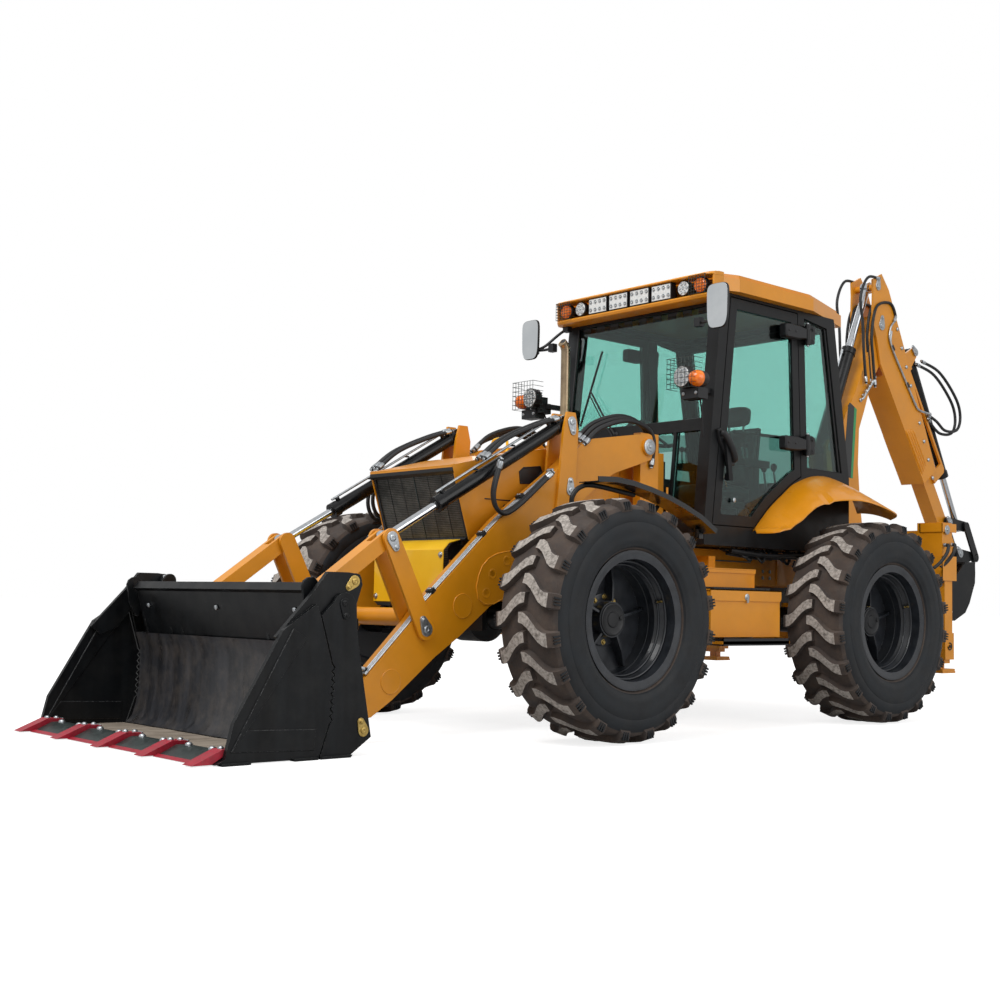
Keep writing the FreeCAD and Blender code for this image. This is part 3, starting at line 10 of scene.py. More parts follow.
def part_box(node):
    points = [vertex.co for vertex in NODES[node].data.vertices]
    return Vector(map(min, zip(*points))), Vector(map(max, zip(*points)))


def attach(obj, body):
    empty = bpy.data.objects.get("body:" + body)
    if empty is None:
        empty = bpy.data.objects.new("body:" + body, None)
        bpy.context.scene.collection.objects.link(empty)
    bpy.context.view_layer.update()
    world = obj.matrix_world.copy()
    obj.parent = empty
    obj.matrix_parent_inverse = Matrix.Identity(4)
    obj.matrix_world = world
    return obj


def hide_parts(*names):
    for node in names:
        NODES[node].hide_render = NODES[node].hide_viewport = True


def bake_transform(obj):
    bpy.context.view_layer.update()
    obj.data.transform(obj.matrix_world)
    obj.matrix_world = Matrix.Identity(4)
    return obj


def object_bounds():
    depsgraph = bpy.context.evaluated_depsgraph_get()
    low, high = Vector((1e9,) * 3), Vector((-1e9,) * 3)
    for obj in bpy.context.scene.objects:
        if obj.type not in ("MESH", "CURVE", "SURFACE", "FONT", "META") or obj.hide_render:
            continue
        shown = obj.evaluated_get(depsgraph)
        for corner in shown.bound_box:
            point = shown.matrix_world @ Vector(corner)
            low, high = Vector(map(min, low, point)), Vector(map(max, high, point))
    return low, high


bl_info = {
    "name": "Backhoe loader",
    "version": (1, 0, 0),
    "blender": (4, 5, 0),
    "location": "3D View > Sidebar > Loader",
    "description": "Adds tyres, lamps, hoses, cab trim, seat and finishes to a backhoe loader",
    "category": "Object",
}

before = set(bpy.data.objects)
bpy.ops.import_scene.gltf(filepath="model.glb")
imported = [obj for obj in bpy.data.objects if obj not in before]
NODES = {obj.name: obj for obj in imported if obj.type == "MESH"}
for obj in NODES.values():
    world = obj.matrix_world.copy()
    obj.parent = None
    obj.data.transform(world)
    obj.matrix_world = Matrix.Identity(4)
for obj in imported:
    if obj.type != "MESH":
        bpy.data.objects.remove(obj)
CAD_BOX = [list(corner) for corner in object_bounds()]

# Sizes below are in millimetres, measured along Y from the front axle.
_low, _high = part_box("tyre_front_left")
AXLE_Y = (_low[1] + _high[1]) / 2.0
WHEEL_R = (_high[2] - _low[2]) * 500.0
WHEEL_X = (_low[0] + _high[0]) * 500.0
WHEELBASE = ((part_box("tyre_rear_left")[0][1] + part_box("tyre_rear_left")[1][1]) / 2.0 - AXLE_Y) * 1000.0
SIDES = (("left", 1), ("right", -1))


def metres(p):
    """A point in millimetres from the front axle, in the frame's metres."""
    return (p[0] / 1000.0, p[1] / 1000.0 + AXLE_Y, p[2] / 1000.0)


def linear(code):
    """An sRGB hex colour as linear RGBA."""
    out = []
    for k in (0, 2, 4):
        c = int(code[k:k + 2], 16) / 255.0
        out.append(c / 12.92 if c <= 0.04045 else ((c + 0.055) / 1.055) ** 2.4)
    return tuple(out) + (1.0,)


# ---- building meshes -----------------------------------------------------------------


def flow(points, steps=8):
    """The points joined by a smooth curve through all of them."""
    pts = [Vector(p) for p in points]
    ends = [pts[0] * 2 - pts[1]] + pts + [pts[-1] * 2 - pts[-2]]
    out = []
    for a, b, c, d in zip(ends, ends[1:], ends[2:], ends[3:]):
        for k in range(steps):
            t = k / steps
            out.append(0.5 * (b * 2 + (c - a) * t + (a * 2 - b * 5 + c * 4 - d) * t * t
                              + (b * 3 - a - c * 3 + d) * t ** 3))
    return out + [pts[-1]]


def across(axis):
    """Two unit directions square to the axis and to each other."""
    axis = Vector(axis).normalized()
    first = axis.cross(Vector((0, 0, 1)) if abs(axis.z) < 0.9 else Vector((0, 1, 0))).normalized()
    return first, axis.cross(first)


def hull_oval(p, q, rp, rq, n=12):
    """Outline of two circles joined by their outer tangents, in (y, z)."""
    dy, dz = q[0] - p[0], q[1] - p[1]
    reach = math.hypot(dy, dz)
    if reach < 1e-6:
        return [(p[0] + rp * math.cos(a), p[1] + rp * math.sin(a))
                for a in (k * math.pi / n for k in range(2 * n))]
    base = math.atan2(dz, dy)
    lean = math.acos(max(-1.0, min(1.0, (rp - rq) / reach)))
    out = []
    for k in range(n + 1):
        a = base + lean + (2 * math.pi - 2 * lean) * k / n
        out.append((p[0] + rp * math.cos(a), p[1] + rp * math.sin(a)))
    for k in range(n + 1):
        a = base - lean + 2 * lean * k / n
        out.append((q[0] + rq * math.cos(a), q[1] + rq * math.sin(a)))
    return out


def skin(rings, n, closed=False):
    """The four-sided faces between rings of n points each."""
    return [(i * n + k, i * n + (k + 1) % n, j * n + (k + 1) % n, j * n + k)
            for i, j in ((i, (i + 1) % rings) for i in range(rings if closed else rings - 1)) for k in range(n)]


class Shape:
    """Vertices and faces gathered for one piece, each face with its material's number."""

    def __init__(self):
        self.points = []
        self.faces = []
        self.paints = []

    def put(self, points, faces, paint=0):
        start = len(self.points)
        self.points += [tuple(p) for p in points]
        self.faces += [tuple(start + i for i in f) for f in faces]
        self.paints += [paint] * len(faces)

    def block(self, low, high, paint=0, turn=None, about=None):
        """A box between two corners, turned about a point if asked."""
        (x0, y0, z0), (x1, y1, z1) = low, high
        pts = [Vector(p) for p in ((x0, y0, z0), (x1, y0, z0), (x1, y1, z0), (x0, y1, z0),
                                   (x0, y0, z1), (x1, y0, z1), (x1, y1, z1), (x0, y1, z1))]
        if turn is not None:
            about = Vector(about or [(a + b) / 2 for a, b in zip(low, high)])
            pts = [turn @ (p - about) + about for p in pts]
        self.put(pts, [(3, 2, 1, 0), (4, 5, 6, 7), (0, 1, 5, 4), (1, 2, 6, 5), (2, 3, 7, 6), (3, 0, 4, 7)],
                 paint)

    def slab(self, outline, x0, x1, paint=0, chamfer=0.0):
        """An outline in (y, z) with thickness along X and a chamfered outer face."""
        n = len(outline)
        area = sum(a[0] * b[1] - b[0] * a[1] for a, b in zip(outline, outline[1:] + outline[:1]))
        pts = list(outline) if area > 0 else list(outline)[::-1]
        mid = (sum(p[0] for p in pts) / n, sum(p[1] for p in pts) / n)
        rings = [(x0, 0.0), (x1 - math.copysign(chamfer, x1 - x0), 0.0)]
        if chamfer:
            rings.append((x1, chamfer))
        verts = []
        for x, inset in rings:
            for y, z in pts:
                d = math.hypot(y - mid[0], z - mid[1]) or 1.0
                s = 1.0 - inset / d
                verts.append((x, mid[0] + (y - mid[0]) * s, mid[1] + (z - mid[1]) * s))
        faces = [tuple(range(n))[::-1], tuple(range((len(rings) - 1) * n, len(rings) * n))]
        faces += skin(len(rings), n)
        if x1 < x0:
            faces = [f[::-1] for f in faces]
        self.put(verts, faces, paint)

    def turned(self, line, origin, axis, n=24, paint=0, start=0.0):
        """A line of (along, radius) spun about an axis through origin."""
        axis = Vector(axis).normalized()
        u, v = across(axis)
        origin = Vector(origin)
        verts = []
        for along, r in line:
            for k in range(n):
                a = 2 * math.pi * k / n + start
                verts.append(origin + axis * along + (u * math.cos(a) + v * math.sin(a)) * r)
        faces = skin(len(line), n)
        if line[0][1] > 1e-6:
            faces.append(tuple(range(n))[::-1])
        if line[-1][1] > 1e-6:
            faces.append(tuple(range((len(line) - 1) * n, len(line) * n)))
        self.put(verts, faces, paint)

    def rod(self, p, q, r, n=16, paint=0, soft=0.0):
        """A round bar between two points with eased ends."""
        p, q = Vector(p), Vector(q)
        reach = (q - p).length
        e = soft or r * 0.12
        self.turned([(0, r - e), (e, r), (reach - e, r), (reach, r - e)], p, q - p, n, paint)

    def ring(self, centre, axis, radius, r, n=32, m=8, paint=0, sweep=360.0, start=0.0):
        """A torus, or part of one, about an axis."""
        u, v = across(axis)
        whole = sweep >= 359.9
        path = []
        for k in range(n if whole else n + 1):
            a = math.radians(start + sweep * k / n)
            path.append(Vector(centre) + (u * math.cos(a) + v * math.sin(a)) * radius)
        self.tube(path, r, m, paint, closed=whole)

    def tube(self, path, r, n=10, paint=0, closed=False, flat=1.0):
        """A round bar along a path, kept from twisting."""
        pts = [Vector(p) for p in path]
        count = len(pts)
        verts = []
        side = None
        for i, p in enumerate(pts):
            a = pts[i - 1] if (i or closed) else p
            b = pts[(i + 1) % count] if (i < count - 1 or closed) else p
            along = (b - a).normalized()
            if side is None:
                side = across(along)[0]
            side = (side - along * side.dot(along)).normalized()
            up = along.cross(side)
            for k in range(n):
                t = 2 * math.pi * k / n
                verts.append(p + side * (r * math.cos(t)) + up * (r * flat * math.sin(t)))
        faces = skin(count, n, closed)
        if not closed:
            faces.append(tuple(range(n))[::-1])
            faces.append(tuple(range((count - 1) * n, count * n)))
        self.put(verts, faces, paint)

    def bolt(self, at, axis, r=11.0, paint=0, washer=True):
        """A hexagon head with its chamfer, standing on a washer."""
        if washer:
            self.turned([(0, r * 1.45), (2.2, r * 1.45), (2.6, r * 1.35)], at, axis, 18, paint)
        self.turned([(2, r), (r * 0.75, r), (r * 0.9, r * 0.82)], at, axis, 6, paint)

    def mirrored(self):
        """The same again on the other side of the machine."""
        start = len(self.points)
        self.points += [(-x, y, z) for x, y, z in self.points]
        self.faces += [tuple(start + i for i in f)[::-1] for f in list(self.faces)]
        self.paints += list(self.paints)
        return self


def piece(name, shape, finishes, body, ease=0.0, crease=38.0, about=None):
    """Makes the gathered shape an object that rides on a body of the frame."""
    mesh = bpy.data.meshes.new(name)
    if about is None:
        points = [metres(p) for p in shape.points]
    else:
        points = [tuple(c / 1000.0 for c in p) for p in shape.points]
    mesh.from_pydata(points, [], shape.faces)
    for finish in finishes:
        mesh.materials.append(bpy.data.materials[finish])
    mesh.polygons.foreach_set("material_index", shape.paints)
    mesh.validate()
    outward = bmesh.new()
    outward.from_mesh(mesh)
    bmesh.ops.recalc_face_normals(outward, faces=outward.faces)
    outward.to_mesh(mesh)
    outward.free()
    mesh.shade_smooth()
    mesh.set_sharp_from_angle(angle=math.radians(crease))
    made = bpy.data.objects.new(name, mesh)
    if about is not None:
        made.location = metres(about)
    bpy.context.scene.collection.objects.link(made)
    if ease:
        cut = made.modifiers.new("EasedEdges", "BEVEL")
        cut.width = ease / 1000.0
        cut.segments = 2
        cut.limit_method = "ANGLE"
        cut.angle_limit = math.radians(40)
    if body:
        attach(made, body)
    return made


# ---- finishes ------------------------------------------------------------------------


def grow(tree, kind, values=None, wires=None, **settings):
    """Adds a node with its settings, socket values and incoming links."""
    made = tree.nodes.new(kind)
    for key, value in settings.items():
        setattr(made, key, value)
    for key, value in (values or {}).items():
        made.inputs[key].default_value = value
    for key, socket in (wires or {}).items():
        tree.links.new(socket, made.inputs[key])
    return made


def mixed(tree, factor, a, b):
    """The socket of a colour mix. Each side is a colour or another socket."""
    sides = {"A": a, "B": b}
    return grow(tree, "ShaderNodeMix", {k: v for k, v in sides.items() if isinstance(v, tuple)},
                {"Factor": factor, **{k: v for k, v in sides.items() if not isinstance(v, tuple)}},
                data_type="RGBA").outputs["Result"]


def tone(colour):
    """A colour given as a tuple or as an sRGB hex code."""
    return linear(colour) if isinstance(colour, str) else colour


def finish(name, low, high, grain, rough, metal=0.0, bump=0.0, bump_grain=2.0, coat=0.0, edge=1.5,
           worn=None, worn_span=(0.97, 0.80), zones=(), stretch=(1, 1, 1), dust=None, sheen=0.0, ior=1.5):
    """A mottled, softly uneven surface. grain and bump_grain are the pattern's real sizes in mm,
    bump its height in mm, edge the rounding that catches light, zones other colours by place."""
    made = bpy.data.materials.new(name)
    made.use_nodes = True
    tree = made.node_tree
    tree.nodes.clear()
    place = grow(tree, "ShaderNodeTexCoord")
    fit = grow(tree, "ShaderNodeMapping", {"Scale": stretch}, {"Vector": place.outputs["Object"]})
    mottle = grow(tree, "ShaderNodeTexNoise", {"Scale": 1000.0 / grain, "Detail": 6.0, "Roughness": 0.6},
                  {"Vector": fit.outputs[0]})
    even = grow(tree, "ShaderNodeMapRange", {"From Min": 0.35, "From Max": 0.65}, {"Value": mottle.outputs[0]})
    out = mixed(tree, even.outputs[0], tone(low), tone(high))
    split = grow(tree, "ShaderNodeSeparateXYZ", None, {"Vector": place.outputs["Object"]})
    for axis, above, limit, tone_low, tone_high in zones:
        other = mixed(tree, even.outputs[0], tone_low, tone_high)
        part = split.outputs["XYZ".index(axis.upper())]
        if axis == "x":
            part = grow(tree, "ShaderNodeMath", None, {0: part}, operation="ABSOLUTE").outputs[0]
        mask = grow(tree, "ShaderNodeMath", {1: limit}, {0: part},
                    operation="GREATER_THAN" if above else "LESS_THAN")
        out = mixed(tree, mask.outputs[0], out, other)
    round_edge = grow(tree, "ShaderNodeBevel", {"Radius": edge / 1000.0}, samples=3)
    normal = round_edge.outputs[0]
    if worn:
        true = grow(tree, "ShaderNodeNewGeometry")
        along = grow(tree, "ShaderNodeVectorMath", None, {0: true.outputs["Normal"], 1: normal},
                     operation="DOT_PRODUCT")
        chip = grow(tree, "ShaderNodeTexNoise", {"Scale": 1000.0 / 9.0, "Detail": 5.0},
                    {"Vector": place.outputs["Object"]})
        rub = grow(tree, "ShaderNodeMapRange", {"From Min": worn_span[0], "From Max": worn_span[1]},
                   {"Value": along.outputs["Value"]})
        flake = grow(tree, "ShaderNodeMapRange", {"From Min": 0.42, "From Max": 0.58}, {"Value": chip.outputs[0]})
        both = grow(tree, "ShaderNodeMath", None, {0: rub.outputs[0], 1: flake.outputs[0]}, operation="MULTIPLY")
        out = mixed(tree, both.outputs[0], out, tone(worn))
    if dust:
        soil, share, size = dust
        cloud = grow(tree, "ShaderNodeTexNoise", {"Scale": 1000.0 / size, "Detail": 8.0, "Roughness": 0.7},
                     {"Vector": place.outputs["Object"]})
        veil = grow(tree, "ShaderNodeMapRange", {"From Min": 0.45, "From Max": 0.75, "To Max": share},
                    {"Value": cloud.outputs[0]})
        out = mixed(tree, veil.outputs[0], out, tone(soil))
    if bump:
        fine = grow(tree, "ShaderNodeTexNoise", {"Scale": 1000.0 / bump_grain, "Detail": 3.0},
                    {"Vector": fit.outputs[0]})
        raised = grow(tree, "ShaderNodeBump", {"Strength": 1.0, "Distance": bump / 1000.0},
                      {"Height": fine.outputs[0], "Normal": normal})
        normal = raised.outputs[0]
    gloss = grow(tree, "ShaderNodeMapRange", {"To Min": rough * 0.85, "To Max": min(1.0, rough * 1.2)},
                 {"Value": even.outputs[0]})
    values = {"Metallic": metal, "Coat Weight": coat, "Sheen Weight": sheen}
    if not metal:
        values["IOR"] = ior
    shader = grow(tree, "ShaderNodeBsdfPrincipled", values,
                  {"Base Color": out, "Roughness": gloss.outputs[0], "Normal": normal})
    grow(tree, "ShaderNodeOutputMaterial", None, {"Surface": shader.outputs[0]})
    return made


def perforated(name, low, high, pitch, share):
    """Stamped sheet whose round holes, pitch mm apart, are drawn as near-black discs: painted shade standing in for the
    dark seen through them.
    """
    made = finish(name, low, high, 60.0, 0.42, metal=0.6)
    tree = made.node_tree
    shader = next(n for n in tree.nodes if n.type == "BSDF_PRINCIPLED")
    place = next(n for n in tree.nodes if n.type == "TEX_COORD")
    cells = grow(tree, "ShaderNodeVectorMath", {"Scale": 1000.0 / pitch}, {0: place.outputs["Object"]},
                 operation="SCALE")
    within = grow(tree, "ShaderNodeVectorMath", None, {0: cells.outputs[0]}, operation="FRACTION")
    split = grow(tree, "ShaderNodeSeparateXYZ", None, {"Vector": within.outputs[0]})
    off_x = grow(tree, "ShaderNodeMath", {1: 0.5}, {0: split.outputs[0]}, operation="SUBTRACT")
    off_z = grow(tree, "ShaderNodeMath", {1: 0.5}, {0: split.outputs[2]}, operation="SUBTRACT")
    flat = grow(tree, "ShaderNodeCombineXYZ", None, {0: off_x.outputs[0], 1: off_z.outputs[0]})
    reach = grow(tree, "ShaderNodeVectorMath", None, {0: flat.outputs[0]}, operation="LENGTH")
    # near-black discs at the holes: painted shade for the dark behind the sheet
    painted_hole_shade = grow(tree, "ShaderNodeMath", {1: share}, {0: reach.outputs["Value"]}, operation="LESS_THAN")
    before = shader.inputs["Base Color"].links[0].from_socket
    tree.links.new(mixed(tree, painted_hole_shade.outputs[0], before, linear("050505")), shader.inputs["Base Color"])
    return made


def clear(name, tint, rough, ior):
    """A see-through material with its tint in the body of the sheet."""
    made = bpy.data.materials.new(name)
    made.use_nodes = True
    tree = made.node_tree
    tree.nodes.clear()
    place = grow(tree, "ShaderNodeTexCoord")
    smear = grow(tree, "ShaderNodeTexNoise", {"Scale": 1000.0 / 240.0, "Detail": 4.0},
                 {"Vector": place.outputs["Object"]})
    haze = grow(tree, "ShaderNodeMapRange", {"To Min": rough, "To Max": rough + 0.02},
                {"Value": smear.outputs[0]})
    shader = grow(tree, "ShaderNodeBsdfPrincipled",
                  {"Base Color": tone(tint), "Transmission Weight": 1.0, "IOR": ior},
                  {"Roughness": haze.outputs[0]})
    grow(tree, "ShaderNodeOutputMaterial", None, {"Surface": shader.outputs[0]})
    return made


def dress(finish_name, *nodes):
    """Gives CAD nodes a finish in every slot they have."""
    for node in nodes:
        for place in NODES[node].material_slots:
            place.material = bpy.data.materials[finish_name]


class LoaderSizes(bpy.types.PropertyGroup):
    """Colours and sizes of the loader's detail."""
    body_colour: bpy.props.FloatVectorProperty(
        name="Body colour", description="Enamel of the arms, roof and boom", subtype="COLOR",
        size=4, min=0.0, max=1.0, default=linear("DC8E0E"))
    tooth_colour: bpy.props.FloatVectorProperty(
        name="Tooth colour", description="Paint of the bucket teeth", subtype="COLOR",
        size=4, min=0.0, max=1.0, default=linear("A0182E"))
    glass_colour: bpy.props.FloatVectorProperty(
        name="Glass tint", description="Tint of the cab windows", subtype="COLOR",
        size=4, min=0.0, max=1.0, default=linear("8CB2AB"))
    lugs: bpy.props.IntProperty(
        name="Lugs per side", description="Tread lugs on each half of a tyre", default=20, min=8, max=40)
    lug_width: bpy.props.FloatProperty(
        name="Lug width", description="Width of a tread lug at its top, in millimetres", default=60.0, min=20.0)
    hose_width: bpy.props.FloatProperty(
        name="Hose diameter", description="Outside diameter of a hydraulic hose, in millimetres",
        default=26.0, min=8.0)


def shade_of(colour, factor):
    """The colour, lighter or darker."""
    return tuple(min(1.0, c * factor) for c in colour[:3]) + (1.0,)


class LOADER_OT_finishes(bpy.types.Operator):
    """Makes the finishes and gives them to the frame's own parts"""
    bl_idname = "loader.finishes"
    bl_label = "Finishes"

    def execute(self, context):
        own = context.scene.loader_sizes
        body = tuple(own.body_colour)
        low, high = shade_of(body, 0.93), shade_of(body, 1.07)
        black_low, black_high = linear("0D0E10"), linear("16181A")
        front = metres((0, 1400, 0))[1]
        # Sprayed polyurethane enamel: even, glossy, a faint orange peel 3 mm across.
        finish("amber_enamel", low, high, 320.0, 0.38, bump=0.03, bump_grain=3.0, coat=0.25,
               worn="8E6A33", dust=("B88B4A", 0.14, 500.0))
        # The same enamel on fenders, black in front of the cab.
        finish("fender_enamel", low, high, 320.0, 0.32, bump=0.03, bump_grain=3.0, coat=0.4,
               zones=[("y", False, front, black_low, black_high)])
        # A yellower enamel on the nose plate.
        finish("nose_enamel", "F2BA14", "F7C420", 250.0, 0.33, bump=0.02, bump_grain=3.0, coat=0.4)
        # Satin black enamel over steel: soft highlights, edges rubbed grey.
        finish("black_enamel", black_low, black_high, 90.0, 0.40, bump=0.02, bump_grain=2.5, ior=1.38,
               worn="4B4B4C", dust=("3A3632", 0.12, 260.0))
        # Chassis enamel, black below with amber deck boxes at its sides.
        finish("chassis_enamel", black_low, black_high, 90.0, 0.45, bump=0.02, bump_grain=2.5,
               zones=[("z", True, 0.795, low, high), ("x", False, 0.300, black_low, black_high)],
               dust=("5A5046", 0.25, 200.0))
        # Bucket black: satin paint streaked by what slid over it.
        finish("bucket_black", "08090B", "101316", 70.0, 0.34, ior=1.33, bump=0.05, bump_grain=5.0,
               stretch=(1, 1, 0.12), worn="8C8C8C", worn_span=(0.96, 0.75),
               dust=("4A4844", 0.13, 150.0))
        # Bucket black rubbed by the load: greyer, streaked downwards, with dried soil in the streaks.
        finish("scuffed_black", "1E1F22", "393A3E", 60.0, 0.32, bump=0.06, bump_grain=5.0,
               stretch=(1, 1, 0.12), dust=("7A6E62", 0.34, 170.0))
        # Bucket floor: bare worn steel under dried dust.
        finish("dusty_steel", "7B6F62", "9B8F81", 45.0, 0.72, metal=0.15, bump=0.15,
               bump_grain=4.0, stretch=(1, 0.25, 1), dust=("B3A797", 0.5, 90.0))
        # Gloss black cylinder enamel: tight highlight along the barrel.
        finish("barrel_black", "08090A", "101114", 60.0, 0.24, bump=0.01, ior=1.42,
               dust=("3A3733", 0.1, 120.0))
        # Hard chrome plating, ground: a mirror with faint rings.
        finish("hard_chrome", "C9CDD2", "DDE0E3", 14.0, 0.13, metal=1.0, edge=0.6)
        # Bright zinc plating on pins, plates and bolts: pale grey, lightly clouded.
        finish("zinc_plate", "A9AEB2", "C6CACD", 12.0, 0.36, metal=1.0, bump=0.02, bump_grain=2.0)
        # Yellow passivated zinc: brassy, clouded.
        finish("yellow_zinc", "A98C4B", "CDB26E", 10.0, 0.38, metal=1.0)
        # Crimson paint on cast teeth, rubbed through at the tips.
        tooth = tuple(own.tooth_colour)
        finish("tooth_paint", shade_of(tooth, 0.85), shade_of(tooth, 1.2), 30.0, 0.42, bump=0.08, bump_grain=3.0,
               worn="7D6A66", dust=("7A5A52", 0.3, 40.0))
        # Moulded tyre rubber: matt, brown with dried soil in the grooves.
        finish("tread_rubber", "352D29", "463B35", 55.0, 0.82, bump=0.10, bump_grain=2.5, sheen=0.05,
               dust=("6B5B4E", 0.45, 130.0))
        # Lug faces scuffed pale by the road.
        finish("lug_rubber", "68615B", "B8B0A8", 16.0, 0.78, bump=0.25, bump_grain=5.0,
               dust=("BDB5AC", 0.6, 45.0))
        # Smooth sidewall rubber: darker, with a low bloom.
        finish("sidewall_rubber", "15171A", "202428", 90.0, 0.55, bump=0.03, bump_grain=2.0, ior=1.38,
               dust=("4B4845", 0.14, 160.0))
        # Slate enamel on the rims.
        finish("rim_enamel", "1D2025", "2C3036", 80.0, 0.36, bump=0.02, bump_grain=2.0, coat=0.2,
               worn="7C8086", dust=("5A5550", 0.12, 90.0))
        # Injection-moulded ABS: black, fine grain.
        finish("moulded_abs", "121315", "1B1C1F", 40.0, 0.46, bump=0.03, bump_grain=2.0)
        # Extruded rubber seals and hoses: matt black.
        finish("hose_rubber", "141517", "1F2022", 25.0, 0.5, bump=0.03, bump_grain=2.5)
        # Cast iron block with dark primer.
        finish("cast_iron", "232426", "35373A", 35.0, 0.6, bump=0.15, bump_grain=3.0)
        # Stainless pipe, straw-brown where it ran hot.
        finish("heated_stainless", "8E7B66", "B6A284", 120.0, 0.3, metal=1.0)
        # Vinyl seat cloth with its wrinkle grain.
        finish("grained_vinyl", "1C1E20", "2A2D30", 30.0, 0.44, bump=0.12, bump_grain=3.0, sheen=0.1)
        # Silvered mirror glass.
        finish("mirror_silver", "D4D9DD", "E4E8EA", 300.0, 0.03, metal=1.0)
        # White reflector bowls behind lamp lenses.
        finish("reflector", "D9DBDA", "F2F3F1", 8.0, 0.22, metal=0.3)
        # Black and green vinyl film, blank.
        finish("film_black", "0E0F10", "17181A", 150.0, 0.3, coat=0.3)
        finish("film_green", "1D8A48", "259653", 150.0, 0.3, coat=0.3)
        # Dark plate of the cutting edge, oiled.
        finish("edge_steel", "2C3534", "414B49", 25.0, 0.4, metal=0.5, bump=0.06, bump_grain=3.0)
        # Grille sheet: its holes are painted near-black, painted shade for the dark behind it.
        perforated("grille_sheet", "4A4A47", "6A6964", 9.0, 0.33)
        clear("tinted_float_glass", tuple(own.glass_colour), 0.0, 1.5)
        clear("lamp_lens", "F4F7F7", 0.03, 1.45)
        # Orange polycarbonate: clear body colour with a hot centre.
        finish("amber_lens", "F0690A", "FF8A1C", 18.0, 0.16, coat=0.6)

        dress("amber_enamel", "hood", "cowl", "loader_towers", "loader_arms", "tilt_levers", "tilt_links",
              "cab_roof", "side_boxes", "rear_frame", "stabiliser_left", "stabiliser_right", "hoe_carriage",
              "kingpost", "boom", "dipper", "dipper_slide")
        dress("fender_enamel", "fenders")
        dress("chassis_enamel", "chassis_frame")
        dress("black_enamel", "front_axle", "rear_axle", "knuckle_left", "knuckle_right", "cab_frame",
              "door_left", "door_right", "dig_rocker", "dig_links")
        dress("bucket_black", "bucket_back", "bucket_clam", "dig_bucket")
        dress("tooth_paint", "bucket_teeth")
        dress("barrel_black", "tilt_barrels", "lift_barrels", "clam_barrels", "boom_barrel", "dipper_barrel",
              "dig_barrel")
        dress("hard_chrome", "tilt_rods", "lift_rods", "clam_rods", "boom_rod", "dipper_rod", "dig_rod_bar")
        dress("rim_enamel", "rim_front_left", "rim_front_right", "rim_rear_left", "rim_rear_right")
        dress("tinted_float_glass", "cab_glass", "door_left_glass", "door_right_glass")
        dress("grille_sheet", "front_panels")
        dress("moulded_abs", "cab_fittings", "lamps")
        dress("cast_iron", "engine")
        dress("grained_vinyl", "seat")
        dress("tread_rubber", "tyre_front_left", "tyre_front_right", "tyre_rear_left", "tyre_rear_right")
        return {"FINISHED"}


# ---- wheels --------------------------------------------------------------------------

# One lug from the middle of the tread down to the sidewall:
# x, distance along the tread, top radius, root x, root radius, share of the full width.
LUG_LINE = [(-16, -8, 593.5, -16, 562, 0.80), (14, -4, 595, 14, 562, 0.92), (46, 14, 595, 46, 562, 0.98),
            (80, 46, 594.5, 80, 561, 1.0), (110, 76, 594, 110, 560, 1.02), (138, 92, 592.5, 137, 559, 1.06),
            (164, 97, 589, 160, 555, 1.12), (186, 98, 580, 176, 548, 1.16), (198, 98, 562, 184, 538, 1.16),
            (202, 98, 541, 190, 522, 1.12)]
TYRE_SECTION = [(-150, 308), (-158, 322), (-165, 341), (-180, 352), (-190, 358), (-196, 376), (-200, 384),
                (-199, 400), (-202, 430), (-203, 470), (-200, 476), (-202, 482), (-199, 512), (-191, 536),
                (-176, 553), (-140, 562), (-70, 566), (0, 567)]


def tyre_shape(lugs, width):
    """Carcass with sidewall ribs and two rows of staggered lugs, about the wheel's centre."""
    shape = Shape()
    section = TYRE_SECTION + [(-x, r) for x, r in TYRE_SECTION[-2::-1]]
    count = 120
    verts = []
    for x, r in section:
        for k in range(count):
            a = 2 * math.pi * k / count
            verts.append((x, r * math.cos(a), r * math.sin(a)))
    rows = len(section)
    faces, side_faces = [], []
    for i in range(rows):
        j = (i + 1) % rows
        for k in range(count):
            m = (k + 1) % count
            group = side_faces if 3 <= i <= 12 or rows - 14 <= i <= rows - 5 else faces
            group.append((i * count + k, i * count + m, j * count + m, j * count + k))
    shape.put(verts, faces, 0)
    start = len(shape.points) - len(verts)
    shape.faces += [tuple(start + i for i in f) for f in side_faces]
    shape.paints += [2] * len(side_faces)
    for hand in (1, -1):
        for k in range(lugs):
            base = 2 * math.pi * (k + (0.5 if hand < 0 else 0.0)) / lugs
            verts = []
            for x, along, top, root_x, root, share in LUG_LINE:
                half = width / 2 * share
                for px, r, off in ((root_x, root, -half - 9), (x, top, -half), (x, top, half),
                                   (root_x, root, half + 9)):
                    a = base + (along + off) / WHEEL_R
                    verts.append((px * hand, r * math.cos(a), r * math.sin(a)))
            tops, flanks = [], []
            for i in range(len(LUG_LINE) - 1):
                b = i * 4
                flanks += [(b, b + 4, b + 5, b + 1), (b + 2, b + 6, b + 7, b + 3)]
                (tops if i < 6 else flanks).append((b + 1, b + 5, b + 6, b + 2))
            last = (len(LUG_LINE) - 1) * 4
            flanks += [(3, 2, 1, 0), (last, last + 1, last + 2, last + 3)]
            if hand > 0:
                tops = [f[::-1] for f in tops]
                flanks = [f[::-1] for f in flanks]
            place = len(shape.points)
            shape.put(verts, flanks, 0)
            shape.faces += [tuple(place + i for i in f) for f in tops]
            shape.paints += [1] * len(tops)
            for bar in (-16, 0, 16):
                turn = Matrix.Rotation(base + (98 + bar) / WHEEL_R, 3, "X")
                mid = Vector((hand * 199.5, 0, 0)) + turn @ Vector((0, 556, 0))
                shape.block(mid - Vector((5, 20, 4)), mid + Vector((4.3, 20, 4)), 2, turn, mid)
    return shape


